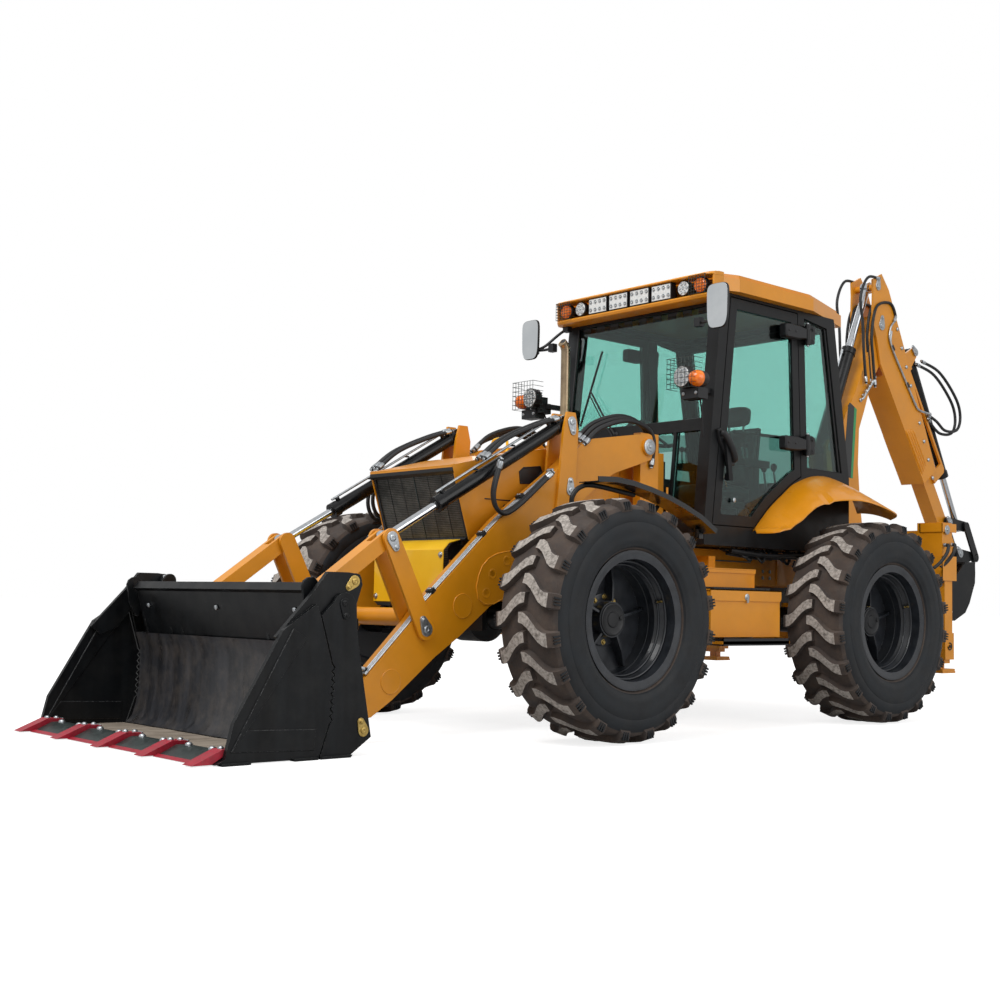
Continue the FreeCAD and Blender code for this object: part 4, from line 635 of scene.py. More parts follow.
class LOADER_OT_tyres(bpy.types.Operator):
    """Adds the four lugged tyres in place of the plain ones"""
    bl_idname = "loader.tyres"
    bl_label = "Tyres"

    def execute(self, context):
        own = context.scene.loader_sizes
        for row, y in (("front", 0.0), ("rear", WHEELBASE)):
            for side, hand in SIDES:
                shape = tyre_shape(own.lugs, own.lug_width)
                made = piece("tyre_tread_%s_%s" % (row, side), shape,
                             ["tread_rubber", "lug_rubber", "sidewall_rubber"], "wheel_%s_%s" % (row, side),
                             crease=32.0, about=(hand * WHEEL_X, y, WHEEL_R))
                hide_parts("tyre_%s_%s" % (row, side))
        return {"FINISHED"}


class LOADER_OT_rims(bpy.types.Operator):
    """Adds rim beads, dish ribs, wheel bolts, hub cap and valve to each rim"""
    bl_idname = "loader.rims"
    bl_label = "Rims"

    def execute(self, context):
        for row, y in (("front", 0.0), ("rear", WHEELBASE)):
            for side, hand in SIDES:
                shape = Shape()
                out = (hand, 0, 0)
                for x, radius, r in ((170, 327, 6), (150, 309, 5), (118, 286, 6), (84, 271, 5), (20, 268, 4)):
                    shape.ring((hand * x, 0, 0), out, radius, r, n=72, m=8)
                dish = hand * -46
                shape.turned([(0, 132), (10, 130), (12, 124), (12, 90)], (dish, 0, 0), out, 48)
                for k in range(10):
                    a = 2 * math.pi * k / 10 + 0.3
                    shape.bolt((dish + hand * 11, 112 * math.cos(a), 112 * math.sin(a)), out, 10, 1)
                for k in range(5):
                    turn = Matrix.Rotation(2 * math.pi * k / 5 + 0.2, 3, "X")
                    fin = [(0, 92, -6), (0, 262, -6), (34, 262, -6), (56, 180, -6), (62, 92, -6),
                           (0, 92, 6), (0, 262, 6), (34, 262, 6), (56, 180, 6), (62, 92, 6)]
                    pts = [turn @ Vector((dish + hand * a, b, c)) for a, b, c in fin]
                    shape.put(pts, [(0, 1, 2, 3, 4), (9, 8, 7, 6, 5), (0, 5, 6, 1), (1, 6, 7, 2), (2, 7, 8, 3),
                                    (3, 8, 9, 4), (4, 9, 5, 0)])
                cap = hand * 24
                shape.turned([(0, 82), (5, 80), (7, 74), (3, 66), (3, 40), (8, 36), (9, 20), (9, 0)],
                             (cap, 0, 0), out, 48, 2)
                for k in range(8):
                    a = 2 * math.pi * k / 8
                    shape.bolt((cap + hand * 1, 74 * math.cos(a), 74 * math.sin(a)), out, 5, 2, washer=False)
                shape.bolt((cap + hand * 3, 52, 10), out, 11, 2)
                shape.rod((hand * 88, 246, 90), (hand * 122, 256, 94), 6, paint=1)
                shape.rod((hand * 84, 246, 90), (hand * 96, 250, 91), 11, paint=2)
                piece("rim_detail_%s_%s" % (row, side), shape, ["rim_enamel", "yellow_zinc", "moulded_abs"],
                      "wheel_%s_%s" % (row, side), ease=1.2, about=(hand * WHEEL_X, y, WHEEL_R))
        return {"FINISHED"}


# ---- cylinders -----------------------------------------------------------------------

# barrel node, body, base pin, tip pin, barrel radius, x of its middle, number of sides, pipe above or below
RAMS = [("tilt_barrels", "tilt_barrels", (212, 1637), (-976, 964), 36, 445, 2, 1),
        ("lift_barrels", "lift_barrels", (900, 830), (-225, 735), 42, 445, 2, -1),
        ("clam_barrels", "clam_barrels", (-1390, 122), (-1436, 749), 30, 811, 2, 1),
        ("boom_barrel", "boom_barrel", (3460, 800), (3220, 1550), 50, 0, 1, 1),
        ("dipper_barrel", "dipper_barrel", (3190, 1800), (3757.3, 3033.4), 48, 0, 1, 1),
        ("dig_barrel", "dig_barrel", (4301.8, 2619.3), (5012.3, 1329.2), 42, 0, 1, 1)]


class LOADER_OT_rams(bpy.types.Operator):
    """Adds gland nuts, weld collars, ports and pressure pipes to every cylinder"""
    bl_idname = "loader.rams"
    bl_label = "Cylinders"

    def execute(self, context):
        for node, body, base, tip, r, x, sides, above in RAMS:
            low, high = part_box(node)
            u = Vector((0, tip[0] - base[0], tip[1] - base[1])).normalized()
            k = 1 if abs(u.y) > abs(u.z) else 2
            across_k = abs(u.z) if k == 1 else abs(u.y)
            start = metres((x, base[0], base[1]))
            edge = (high[k] if u[k] > 0 else low[k]) * 1000.0
            reach = abs(edge - start[k] * 1000.0) - r * across_k
            reach /= abs(u[k])
            origin = Vector((x, base[0], base[1]))
            side = Vector((1, 0, 0))
            up = u.cross(side)
            if (up.y if k == 2 else up.z) * (1 if k == 1 else -1) * above < 0:
                up = -up
            shape = Shape()
            shape.turned([(reach - 52, r + 0.6), (reach - 50, r + 3), (reach - 6, r + 3), (reach - 2, r + 1)],
                         origin, u, 32)
            shape.turned([(reach - 3, r * 0.72), (reach + 3, r * 0.70), (reach + 4, r * 0.62)], origin, u, 32, 0)
            shape.turned([(r + 26, r + 0.6), (r + 30, r + 2.5), (r + 40, r + 2.5), (r + 44, r + 0.6)], origin, u, 32)
            for t in (r + 70, reach - 70):
                shape.turned([(r - 6, 13), (r + 13, 13), (r + 15, 11)], origin + u * t, up, 16)
                shape.turned([(r + 15, 9), (r + 22, 9), (r + 23, 7)], origin + u * t, up, 6, 1)
            a = origin + u * (r + 70) + up * (r + 20)
            b = origin + u * (reach - 70) + up * (r + 20)
            shape.tube(flow([a - u * 40 + up * 2, a + up * 2, b - u * 30, b - up * 2], 6), 6.5, 10, 1)
            for t in (0.35, 0.7):
                mid = a.lerp(b, t) - up * 10
                shape.block(mid - side * 9 - u * 8 - up * 9, mid + side * 9 + u * 8 + up * 10, 0)
            if sides == 2:
                shape.mirrored()
            piece("pipes_" + node, shape, ["barrel_black", "zinc_plate"], body, ease=0.8)
        return {"FINISHED"}


def keeper(shape, pin, bolt, x, hand, paint, thick=6, r=30, small=18, nut=9):
    """A teardrop keeper plate with its pin head and lock bolt on a face at x."""
    top = x + hand * thick
    shape.slab(hull_oval(pin, bolt, r, small), x, top, paint, chamfer=1.5)
    shape.turned([(0, r * 0.55), (3, r * 0.55), (4, r * 0.48), (4, r * 0.2), (2, r * 0.15)],
                 (top, pin[0], pin[1]), (hand, 0, 0), 20, paint)
    shape.bolt((top, bolt[0], bolt[1]), (hand, 0, 0), nut, paint)


class LOADER_OT_arms(bpy.types.Operator):
    """Adds bosses, keeper plates and steel pipes to the loader arms, levers and towers"""
    bl_idname = "loader.arms"
    bl_label = "Loader arms"

    def execute(self, context):
        shape = Shape()
        for c, r in (((-513, 647), 58), ((-948, 285), 56)):
            shape.slab(hull_oval(c, c, r, r, 24), 489.5, 492.6, 0)
            shape.ring((490.3, c[0], c[1]), (1, 0, 0), r + 1, 3.2, n=48, m=8)
        kidney = [(-425, 745), (-412, 800), (-388, 850), (-345, 890), (-293, 914), (-235, 926), (-179, 933),
                  (-110, 925), (-96, 880), (-140, 790), (-190, 735), (-242, 689), (-309, 660), (-372, 657),
                  (-412, 685)]
        shape.slab(kidney, 489.5, 492.8, 0)
        bead = [(491, y, z) for y, z in kidney]
        shape.tube(bead, 3.4, 8, 0, closed=True)
        for c in ((-320, 811), (-224, 880), (-358, 713)):
            shape.turned([(0, 27), (1.6, 25), (1.6, 17), (0.6, 14)], (492.2, c[0], c[1]), (1, 0, 0), 32, 0)
        # arm pivot: broad zinc disc over the pin
        shape.turned([(0, 45), (4, 45), (5, 43), (5, 27), (8, 24), (8, 9), (6, 8)], (502, 837, 1559), (1, 0, 0),
                     40, 1)
        shape.turned([(6, 10), (13, 10), (14, 8)], (502, 837, 1559), (1, 0, 0), 6, 1)
        keeper(shape, (212, 1637), (221, 1587), 506, 1, 1, r=31, small=20)
        keeper(shape, (209, 1270), (208, 1322), 506, 1, 1, r=29, small=18)
        # pressure pipes clipped along the top edge of the arm
        top = [(-1085, 330), (-960, 452), (-829, 579), (-752, 668), (-520, 880), (-274, 1101), (-60, 1254), (90, 1360)]
        for x, lift in ((481, 0), (467, 0), (453, 0)):
            line = [(x, y, z + lift - 3) for y, z in top]
            shape.tube(flow(line, 5), 4.5, 8, 1)
            shape.turned([(0, 9), (20, 9), (22, 7)], (x, 84, 1363), (0, 0.80, 0.56), 6, 1)
            shape.turned([(0, 9), (20, 9), (22, 7)], (x, -1080, 336), (0, -0.70, -0.70), 6, 1)
        for y, z in ((-700, 714), (-380, 1008), (-120, 1214)):
            shape.block((444, y - 14, z - 6), (490, y + 14, z + 15), 2, Matrix.Rotation(0.74, 3, "X"))
            shape.bolt((474, y - 8, z + 14), (0, -0.67, 0.74), 5, 1)
            shape.bolt((460, y - 8, z + 14), (0, -0.67, 0.74), 5, 1)
        shape.mirrored()
        # cross tube flanges
        for hand in (1, -1):
            shape.turned([(0, 58), (8, 58), (10, 55), (10, 48)], (hand * 392, -620, 585), (-hand, 0, 0), 32)
        piece("arm_fittings", shape, ["amber_enamel", "zinc_plate", "moulded_abs"], "loader_arms",
              ease=0.8)

        shape = Shape()
        along = Vector((-222, 433)).normalized()
        foot, head = (-754, 531), (-976, 964)
        keeper(shape, foot, (foot[0] + along.x * 52, foot[1] + along.y * 52), 510, 1, 0, r=34, small=20)
        keeper(shape, head, (head[0] - along.x * 50, head[1] - along.y * 50), 510, 1, 0, r=32, small=20)
        shape.mirrored()
        piece("lever_keepers", shape, ["zinc_plate"], "tilt_levers", ease=0.8)

        shape = Shape()
        for x in (795, 985):
            shape.block((504, x - 7, 660), (509, x + 7, 1340), 0)
        for z in (720, 1120):
            for y in (820, 950):
                shape.bolt((510, y, z), (1, 0, 0), 12, 1)
        shape.turned([(0, 34), (5, 34), (6, 31), (6, 12), (9, 10)], (510, 900, 830), (1, 0, 0), 32, 1)
        shape.bolt((510, 900, 895), (1, 0, 0), 9, 1)
        shape.mirrored()
        piece("tower_fittings", shape, ["amber_enamel", "zinc_plate"], "chassis", ease=0.8)
        return {"FINISHED"}


class LOADER_OT_bucket(bpy.types.Operator):
    """Adds pads, keeper plates, edge segments, wear plates and the dusty floor to the clam bucket"""
    bl_idname = "loader.bucket"
    bl_label = "Clam bucket"

    def execute(self, context):
        shape = Shape()
        keeper(shape, (-1390, 110), (-1404, 148), 880, 1, 1, thick=5, r=27, small=17)
        shape.slab([(-1614, 0.5), (-1462, 0.5), (-1452, 12), (-1612, 12)], 858, 896, 0)
        # inner ear plate beside each back corner
        shape.slab([(-1670, 722), (-1661, 746), (-1641, 760), (-1612, 764), (-1590, 748), (-1580, 705), (-1588, 600),
                    (-1600, 560), (-1622, 572), (-1655, 635), (-1662, 690)], 788, 800, 0, chamfer=2)
        # weld beads where the side plate meets the box
        for line in ([(-1536, 190), (-1536, 400), (-1566, 480), (-1600, 596)], [(-1606, 8), (-1560, 62), (-1534, 195)]):
            shape.tube([(862, y - 3, z + 1) for y, z in line], 4, 6, 0)
        shape.mirrored()
        for x in (-660, 0, 660):
            shape.turned([(0, 13), (7, 12), (9, 9), (10, 4)], (x, -1609, 620), (0, -0.955, -0.29), 20, 2)
        piece("bucket_fittings", shape, ["bucket_black", "yellow_zinc", "zinc_plate"], "bucket",
              ease=0.8)

        shape = Shape()
        # polished strip where the load slides over the lower sheet
        sheet = [(-1607, 22), (-1574, 60), (-1557, 120), (-1546, 200), (-1545, 300), (-1546, 398), (-1574, 480)]
        verts = []
        for k in range(25):
            x = -862 + 1724 * k / 24
            verts += [(x, y - 0.8, z) for y, z in sheet]
        n = len(sheet)
        faces = [(k * n + i, k * n + i + 1, (k + 1) * n + i + 1, (k + 1) * n + i)
                 for k in range(24) for i in range(n - 1)]
        shape.put(verts, faces, 0)
        piece("bucket_wear", shape, ["scuffed_black"], "bucket", crease=60.0)

        shape = Shape()
        upper = [(-1760, 546), (-1693, 505), (-1968, 137), (-2037, 53)]
        lower = [(-1968, 137), (-1638, 126), (-1643, 41), (-2037, 53)]
        for x0, x1 in ((879.5, 886), (858.5, 852)):
            for pad in (upper, lower):
                shape.slab(pad, x0, x1, 0, chamfer=2)
                shape.tube([(x0 + (x1 - x0) * 0.3, y, z) for y, z in pad], 3.0, 6, 0, closed=True)
        shape.slab([(-2084, 0.5), (-1954, 0.5), (-1950, 12), (-2084, 12)], 858, 898, 0)
        shape.slab([(-1745, 0.5), (-1628, 0.5), (-1628, 12), (-1749, 12)], 858, 898, 0)
        keeper(shape, (-1505, 652), (-1496, 600), 880, 1, 0, thick=5, r=24, small=17)
        keeper(shape, (-1440, 748), (-1470, 722), 858, 1, 3, thick=5, r=27, small=17, nut=8)
        shape.mirrored()
        # bolt-on edge segments between the teeth, a red liner below each
        for x in (-614.5, -205, 205, 614.5):
            shape.slab([(-2122, 12), (-2108, 8), (-2040, 35.2), (-1996, 35.2), (-1996, 48), (-2046, 48)],
                       x - 160, x + 160, 2, chamfer=0)
            shape.slab([(-2150, 4), (-2112, 4), (-2112, 9), (-2124, 14)], x - 166, x + 166, 4)
            for dx in (-95, 95):
                shape.turned([(0, 17), (7, 16), (12, 12), (15, 6), (15.5, 0.1)], (x + dx, -2022, 48), (0, 0, 1), 18, 1)
        for x in (-819, -410, 0, 410, 819):
            for y, z in ((-2048, 63), (-2002, 60.5)):
                shape.turned([(0, 14), (6, 13), (10, 9), (12, 4), (12.2, 0.1)], (x, y, z), (0, 0, 1), 16, 5)
            shape.tube([(x - 38, -1984, 60), (x + 38, -1984, 60)], 4, 6, 5)
        piece("clam_fittings", shape, ["bucket_black", "zinc_plate", "edge_steel", "yellow_zinc", "tooth_paint",
                                       "zinc_plate"], "bucket_clam", ease=0.8)

        shape = Shape()
        verts = []
        for k in range(33):
            x = -862 + 1724 * k / 32
            for j in range(12):
                y = -1992 + 366 * j / 11
                wave = math.sin(x * 0.021 + y * 0.013) + math.sin(x * 0.008 - y * 0.03)
                verts.append((x, y, 21.5 + 0.6 * wave))
        faces = [(k * 12 + j, (k + 1) * 12 + j, (k + 1) * 12 + j + 1, k * 12 + j + 1)
                 for k in range(32) for j in range(11)]
        shape.put(verts, faces, 0)
        piece("bucket_floor_dust", shape, ["dusty_steel"], "bucket_clam", crease=60.0)

        shape = Shape()
        shape.put([(x, y, 19.2) for x in (-862, 862) for y in (-1606, -1560)], [(0, 2, 3, 1)], 0)
        piece("bucket_heel_dust", shape, ["dusty_steel"], "bucket")
        return {"FINISHED"}


class LOADER_OT_front(bpy.types.Operator):
    """Adds the grille frame, hood lip and handle, nose plate trim, exhaust clamps and axle detail"""
    bl_idname = "loader.front"
    bl_label = "Hood and grille"

    def execute(self, context):
        shape = Shape()
        low, high = (-354, 990), (-459, 1332)
        lean = math.atan2(high[0] - low[0], high[1] - low[1])
        for x, half, stand in ((0, 3, 3), (-334, 9, 8), (334, 9, 8), (-112, 1.5, 2), (112, 1.5, 2),
                               (-224, 1.5, 2), (224, 1.5, 2)):
            pts = []
            for y, z in (low, high):
                out = (-math.cos(lean) * stand, -math.sin(lean) * stand)
                for dx, k in ((-half, 0), (-half, 1), (half, 1), (half, 0)):
                    pts.append((x + dx, y - 1 + out[0] * k, z + out[1] * k))
            shape.put(pts, [(0, 1, 2, 3), (7, 6, 5, 4), (0, 4, 5, 1), (1, 5, 6, 2), (2, 6, 7, 3), (3, 7, 4, 0)],
                      1 if x else 2)
        shape.tube(flow([(-330, low[0] - 8, low[1]), (0, low[0] - 8, low[1]), (330, low[0] - 8, low[1])], 4), 8, 10, 1)
        for x in (-270, 270):
            for z in (690, 905):
                shape.bolt((x, -481, z), (0, -1, 0), 11, 0)
        shape.slab([(-476.2, 662), (-476.2, 929), (-440.2, 966.2), (-366, 986), (-367, 990), (-443, 971), (-481, 932),
                    (-481, 662)], -290, 290, 3)
        piece("grille_trim", shape, ["zinc_plate", "moulded_abs", "edge_steel", "nose_enamel"], "chassis",
              ease=0.8)

        shape = Shape()
        shape.slab([(-482, 1350), (-482, 1364), (-470, 1368), (-430, 1362), (-430, 1350)], -349, 349, 0)
        # black wedge under the front lip: painted shadow beneath the lip
        shape.slab([(-482.8, 1350), (-482.8, 1332), (-466, 1318), (-462, 1322), (-462, 1350)], -349, 349, 2)
        loop = [(-62, 150, 1505), (-62, 150, 1552), (-48, 150, 1574), (0, 150, 1580), (48, 150, 1574), (62, 150, 1552),
                (62, 150, 1505)]
        shape.tube(flow(loop, 5), 8, 12, 1)
        for hand in (1, -1):
            shape.turned([(0, 16), (4, 16), (5, 12)], (hand * 62, 150, 1502), (0, 0, 1), 16, 1)
            window = [(-19, 1362), (10, 1385), (132, 1400), (145, 1374), (88, 1307), (-12, 1300)]
            shape.slab(window, hand * 350.2, hand * 352, 2)
            shape.tube([(hand * 351.5, y, z) for y, z in window], 4, 8, 2, closed=True)
            shape.block((hand * 351 - 1.5, -260, 1200), (hand * 351 + 1.5, 560, 1206), 2)
            for k in range(9):
                y = -120 + 62 * k
                shape.slab(hull_oval((y, 1060), (y, 1170), 11, 11, 8), hand * 350, hand * 351.5, 2)
        piece("hood_trim", shape, ["amber_enamel", "nose_enamel", "moulded_abs"], "hood", ease=0.8)

        shape = Shape()
        shape.turned([(0, 47), (10, 47), (12, 44)], (-200, 850, 1512), (0, 0, 1), 32, 1)
        shape.turned([(0, 44.2), (26, 44.2), (27, 42)], (-200, 850, 1700), (0, 0, 1), 32, 0)
        shape.turned([(0, 6), (34, 6), (36, 5)], (-160, 850, 1713), (1, 0, 0), 6, 1)
        piece("exhaust_clamps", shape, ["heated_stainless", "zinc_plate"], "chassis", ease=0.5)

        shape = Shape()
        # differential cover bolts and grease caps on the front axle
        for k in range(12):
            a = 2 * math.pi * k / 12
            shape.bolt((104 * math.cos(a), -212, 595 + 104 * math.sin(a)), (0, -1, 0), 9, 0)
        shape.turned([(0, 26), (6, 26), (8, 22), (14, 14)], (0, -212, 560), (0, -1, 0), 6, 0)
        piece("axle_bolts", shape, ["zinc_plate"], "chassis", ease=0.5)
        return {"FINISHED"}


def exhaust_sleeve():
    """The upright exhaust's bright pipe, with its bent open end."""
    shape = Shape()
    line = [(-200, 850, 1484), (-200, 850, 1800), (-200, 850, 2100), (-200, 850, 2188)]
    for k in range(1, 9):
        a = math.radians(60 * k / 8)
        line.append((-200, 790 + 60 * math.cos(a), 2190 + 60 * math.sin(a)))
    shape.tube(line, 28, 24, 0)
    tip, back = Vector(line[-1]), Vector(line[-2])
    shape.ring(tip, tip - back, 26, 3, n=32, m=8)
    return shape


class LOADER_OT_cab(bpy.types.Operator):
    """Adds hinges, handles, seals, wiper, sun strip, exhaust and the cab's small controls"""
    bl_idname = "loader.cab"
    bl_label = "Cab"

    def execute(self, context):
        piece("exhaust_pipe", exhaust_sleeve(), ["heated_stainless"], "chassis")

        shape = Shape()
        lean = 0.1058
        for z in (1671, 2361):
            # hinge halves on the post behind each door
            shape.slab([(2108, z - 60), (2170, z - 52), (2176, z + 50), (2150, z + 62), (2108, z + 58)], 628, 672, 0,
                       chamfer=6)
            shape.rod((664, 2104, z - 66), (664, 2104, z + 66), 17, 20, 0)
            shape.rod((664, 2104, z - 74), (664, 2104, z + 74), 8, 12, 1)
            for dz in (-34, 34):
                shape.bolt((672, 2146, z + dz), (1, 0, 0), 8, 0)
        # rubber seal round the quarter window
        quarter = [(2152, 1534), (2516, 1534), (2350, 2436), (2116, 2464)]
        shape.tube(flow([(612, y, z) for y, z in quarter + quarter[:1]], 1), 7, 8, 2)
        shape.mirrored()
        # windscreen seal and the dashed sun strip under the roof
        for x in (-548, 548):
            shape.tube([(x, 1165 + (z - 1140) * lean + 8, z) for z in (1756, 2100, 2446)], 8, 8, 2)
        for z in (1756, 2446):
            shape.tube([(x, 1165 + (z - 1140) * lean + 8, z) for x in (-548, 0, 548)], 8, 8, 2)
        for k in range(9):
            x = -480 + 120 * k
            y = 1165 + (2420 - 1140) * lean
            shape.block((x - 34, y + 16, 2396), (x + 34, y + 20, 2436), 0)
        shape.block((-540, 1319, 2436), (540, 1324, 2480), 0)
        piece("cab_trim", shape, ["moulded_abs", "zinc_plate", "hose_rubber"], "chassis", ease=1.5)

        for side, hand in SIDES:
            shape = Shape()
            for z in (1671, 2361):
                shape.slab([(1862, z - 34), (1872, z - 44), (1988, z - 44), (2074, z - 30), (2074, z + 30),
                            (1988, z + 42), (1872, z + 40), (1862, z + 30)], hand * 631, hand * 684, 0, chamfer=9)
                for y in (1890, 1960):
                    shape.turned([(0, 9), (3, 8), (4, 5)], (hand * 684, y, z), (hand, 0, 0), 12, 0)
            # slanted pull handle and its latch box
            shape.slab([(1262, 1690), (1290, 1700), (1330, 1652), (1424, 1520), (1416, 1490), (1376, 1490),
                        (1276, 1630)], hand * 631, hand * 648, 0, chamfer=5)
            grip = [(1286, 1672), (1300, 1660), (1345, 1598), (1390, 1534), (1398, 1516)]
            shape.tube(flow([(hand * (652 + 26 * math.sin(math.pi * k / 4)), y, z)
                             for k, (y, z) in enumerate(grip)], 6), 13, 12, 0, flat=1.5)
            # round lock barrel low on the door
            shape.turned([(0, 14), (6, 14), (8, 10)], (hand * 631, 1430, 1290), (hand, 0, 0), 20, 1)
            # inner pull rail
            shape.rod((hand * 596, 1460, 1700), (hand * 596, 1960, 1708), 10, 12, 0)
            shape.rod((hand * 602, 1470, 1700), (hand * 590, 1470, 1700), 12, 12, 0)
            shape.rod((hand * 602, 1950, 1708), (hand * 590, 1950, 1708), 12, 12, 0)
            piece("door_fittings_" + side, shape, ["moulded_abs", "zinc_plate"], "door_" + side,
                  ease=1.5)

        shape = Shape()
        # wiper: motor boss, arm, blade with its rubber
        def glass(x, z, off=0.0):
            return (x, 1165 + (z - 1140) * lean - off, z)
        shape.turned([(0, 20), (10, 18), (14, 10)], glass(-126, 1712, -4), (0, -1, 0), 20, 0)
        shape.tube(flow([glass(-126, 1712, 12), glass(-230, 1840, 22), glass(-368, 2010, 16)], 6), 6, 8, 0)
        shape.tube(flow([glass(-150, 1706, 10), glass(-250, 1828, 20), glass(-372, 1985, 16)], 6), 4, 8, 0)
        shape.tube(flow([glass(-303, 2262, 7), glass(-372, 2010, 12), glass(-440, 1790, 7)], 6), 7, 8, 1)
        piece("wiper", shape, ["moulded_abs", "hose_rubber"], "chassis")

        shape = Shape()
        # control levers with knobs, pedals, floor mat and dash details
        for hand in (1, -1):
            for y, x in ((2480, 90), (2480, 170)):
                shape.tube(flow([(hand * x, y, 1080), (hand * x, y - 10, 1300), (hand * x, y - 60, 1560)], 5), 8, 8, 1)
                shape.turned([(-30, 10), (-14, 20), (8, 22), (22, 12)], (hand * x, y - 62, 1590), (0, 0, 1), 16, 2)
        for x in (-120, -30, 120):
            shape.block((x - 32, 1290, 1110), (x + 32, 1300, 1190), 0, Matrix.Rotation(-0.5, 3, "X"))
        shape.block((-520, 1330, 1061), (520, 2380, 1066), 3)
        shape.tube(flow([(60, 1290, 1540), (70, 1300, 1700), (30, 1330, 1900), (10, 1345, 1985)], 6), 6, 8, 0)
        shape.block((-60, 1300, 1540), (60, 1330, 1600), 0)
        piece("cab_controls", shape, ["moulded_abs", "zinc_plate", "hose_rubber", "hose_rubber"], "chassis",
              ease=2.0)
        return {"FINISHED"}


def led_lamp(shape, x, y, z, wide, tall, rows, cells):
    """A rectangular lamp facing forward: housing, bowl, LED cells and bracket."""
    w, h = wide / 2, tall / 2
    shape.block((x - w, y, z - h), (x + w, y + 44, z + h), 0)
    for k in range(7):
        shape.block((x - w + 6, y + 44, z - h + 4 + k * (tall - 10) / 7), (x + w - 6, y + 54,
                                                                           z - h + 8 + k * (tall - 10) / 7), 0)
    shape.block((x - w + 5, y - 3, z - h + 5), (x + w - 5, y + 1, z + h - 5), 1)
    for i in range(cells):
        for j in range(rows):
            cx = x - w + wide * (i + 0.5) / cells
            cz = z - h + tall * (j + 0.5) / rows
            shape.turned([(0, 13), (1.5, 13), (1.5, 10), (-1, 6)], (cx, y - 3, cz), (0, -1, 0), 14, 2)
            shape.turned([(0, 5), (3, 4), (4.5, 0.1)], (cx, y - 3, cz), (0, -1, 0), 10, 1)
    shape.tube([(x - 26, y + 20, z + h), (x - 22, y + 20, z + h + 16), (x + 22, y + 20, z + h + 16),
                (x + 26, y + 20, z + h)], 5, 8, 2)


def round_lamp(shape, x, y, z, r, cells, lens):
    """A round lamp facing forward: drum, rim, bowl and LED cells, or one fluted lens."""
    shape.turned([(-46, r * 0.7), (-34, r), (-4, r), (0, r - 4)], (x, y, z), (0, -1, 0), 36, 0)
    if lens == 1:
        shape.turned([(0, r - 5), (1, r - 6), (2, 0.1)], (x, y, z), (0, -1, 0), 36, 1)
        spots = [(0, 0)] + [(0.60 * r * math.cos(a), 0.60 * r * math.sin(a))
                            for a in (2 * math.pi * k / (cells - 1) for k in range(cells - 1))]
        for dx, dz in spots:
            shape.turned([(1.5, 0.24 * r), (3.5, 0.24 * r), (3.5, 0.19 * r), (2, 0.12 * r)], (x + dx, y, z + dz),
                         (0, -1, 0), 16, 2)
            shape.turned([(2, 0.10 * r), (6, 0.07 * r), (7, 0.01)], (x + dx, y, z + dz), (0, -1, 0), 10, 1)
    else:
        shape.turned([(0, r - 5), (8, r - 8), (14, r * 0.5), (16, 0.1)], (x, y, z), (0, -1, 0), 36, lens)
        for q in (0.35, 0.6, 0.8):
            shape.ring((x, y - 15 + 8 * q * q, z), (0, 1, 0), r * q, 1.6, n=36, m=6, paint=lens)


def wire_guard(shape, x0, x1, y, z0, z1, columns, rows, paint, deep=50, r=1.7):
    """A bent wire guard in front of a lamp."""
    for k in range(columns + 1):
        x = x0 + (x1 - x0) * k / columns
        shape.tube([(x, y, z0), (x, y, z1)], r, 6, paint)
    for k in range(rows + 1):
        z = z0 + (z1 - z0) * k / rows
        shape.tube(flow([(x0, y + deep, z), (x0, y + 4, z), (x0 + 4, y, z), ((x0 + x1) / 2, y, z), (x1 - 4, y, z),
                         (x1, y + 4, z), (x1, y + deep, z)], 3), r, 6, paint)


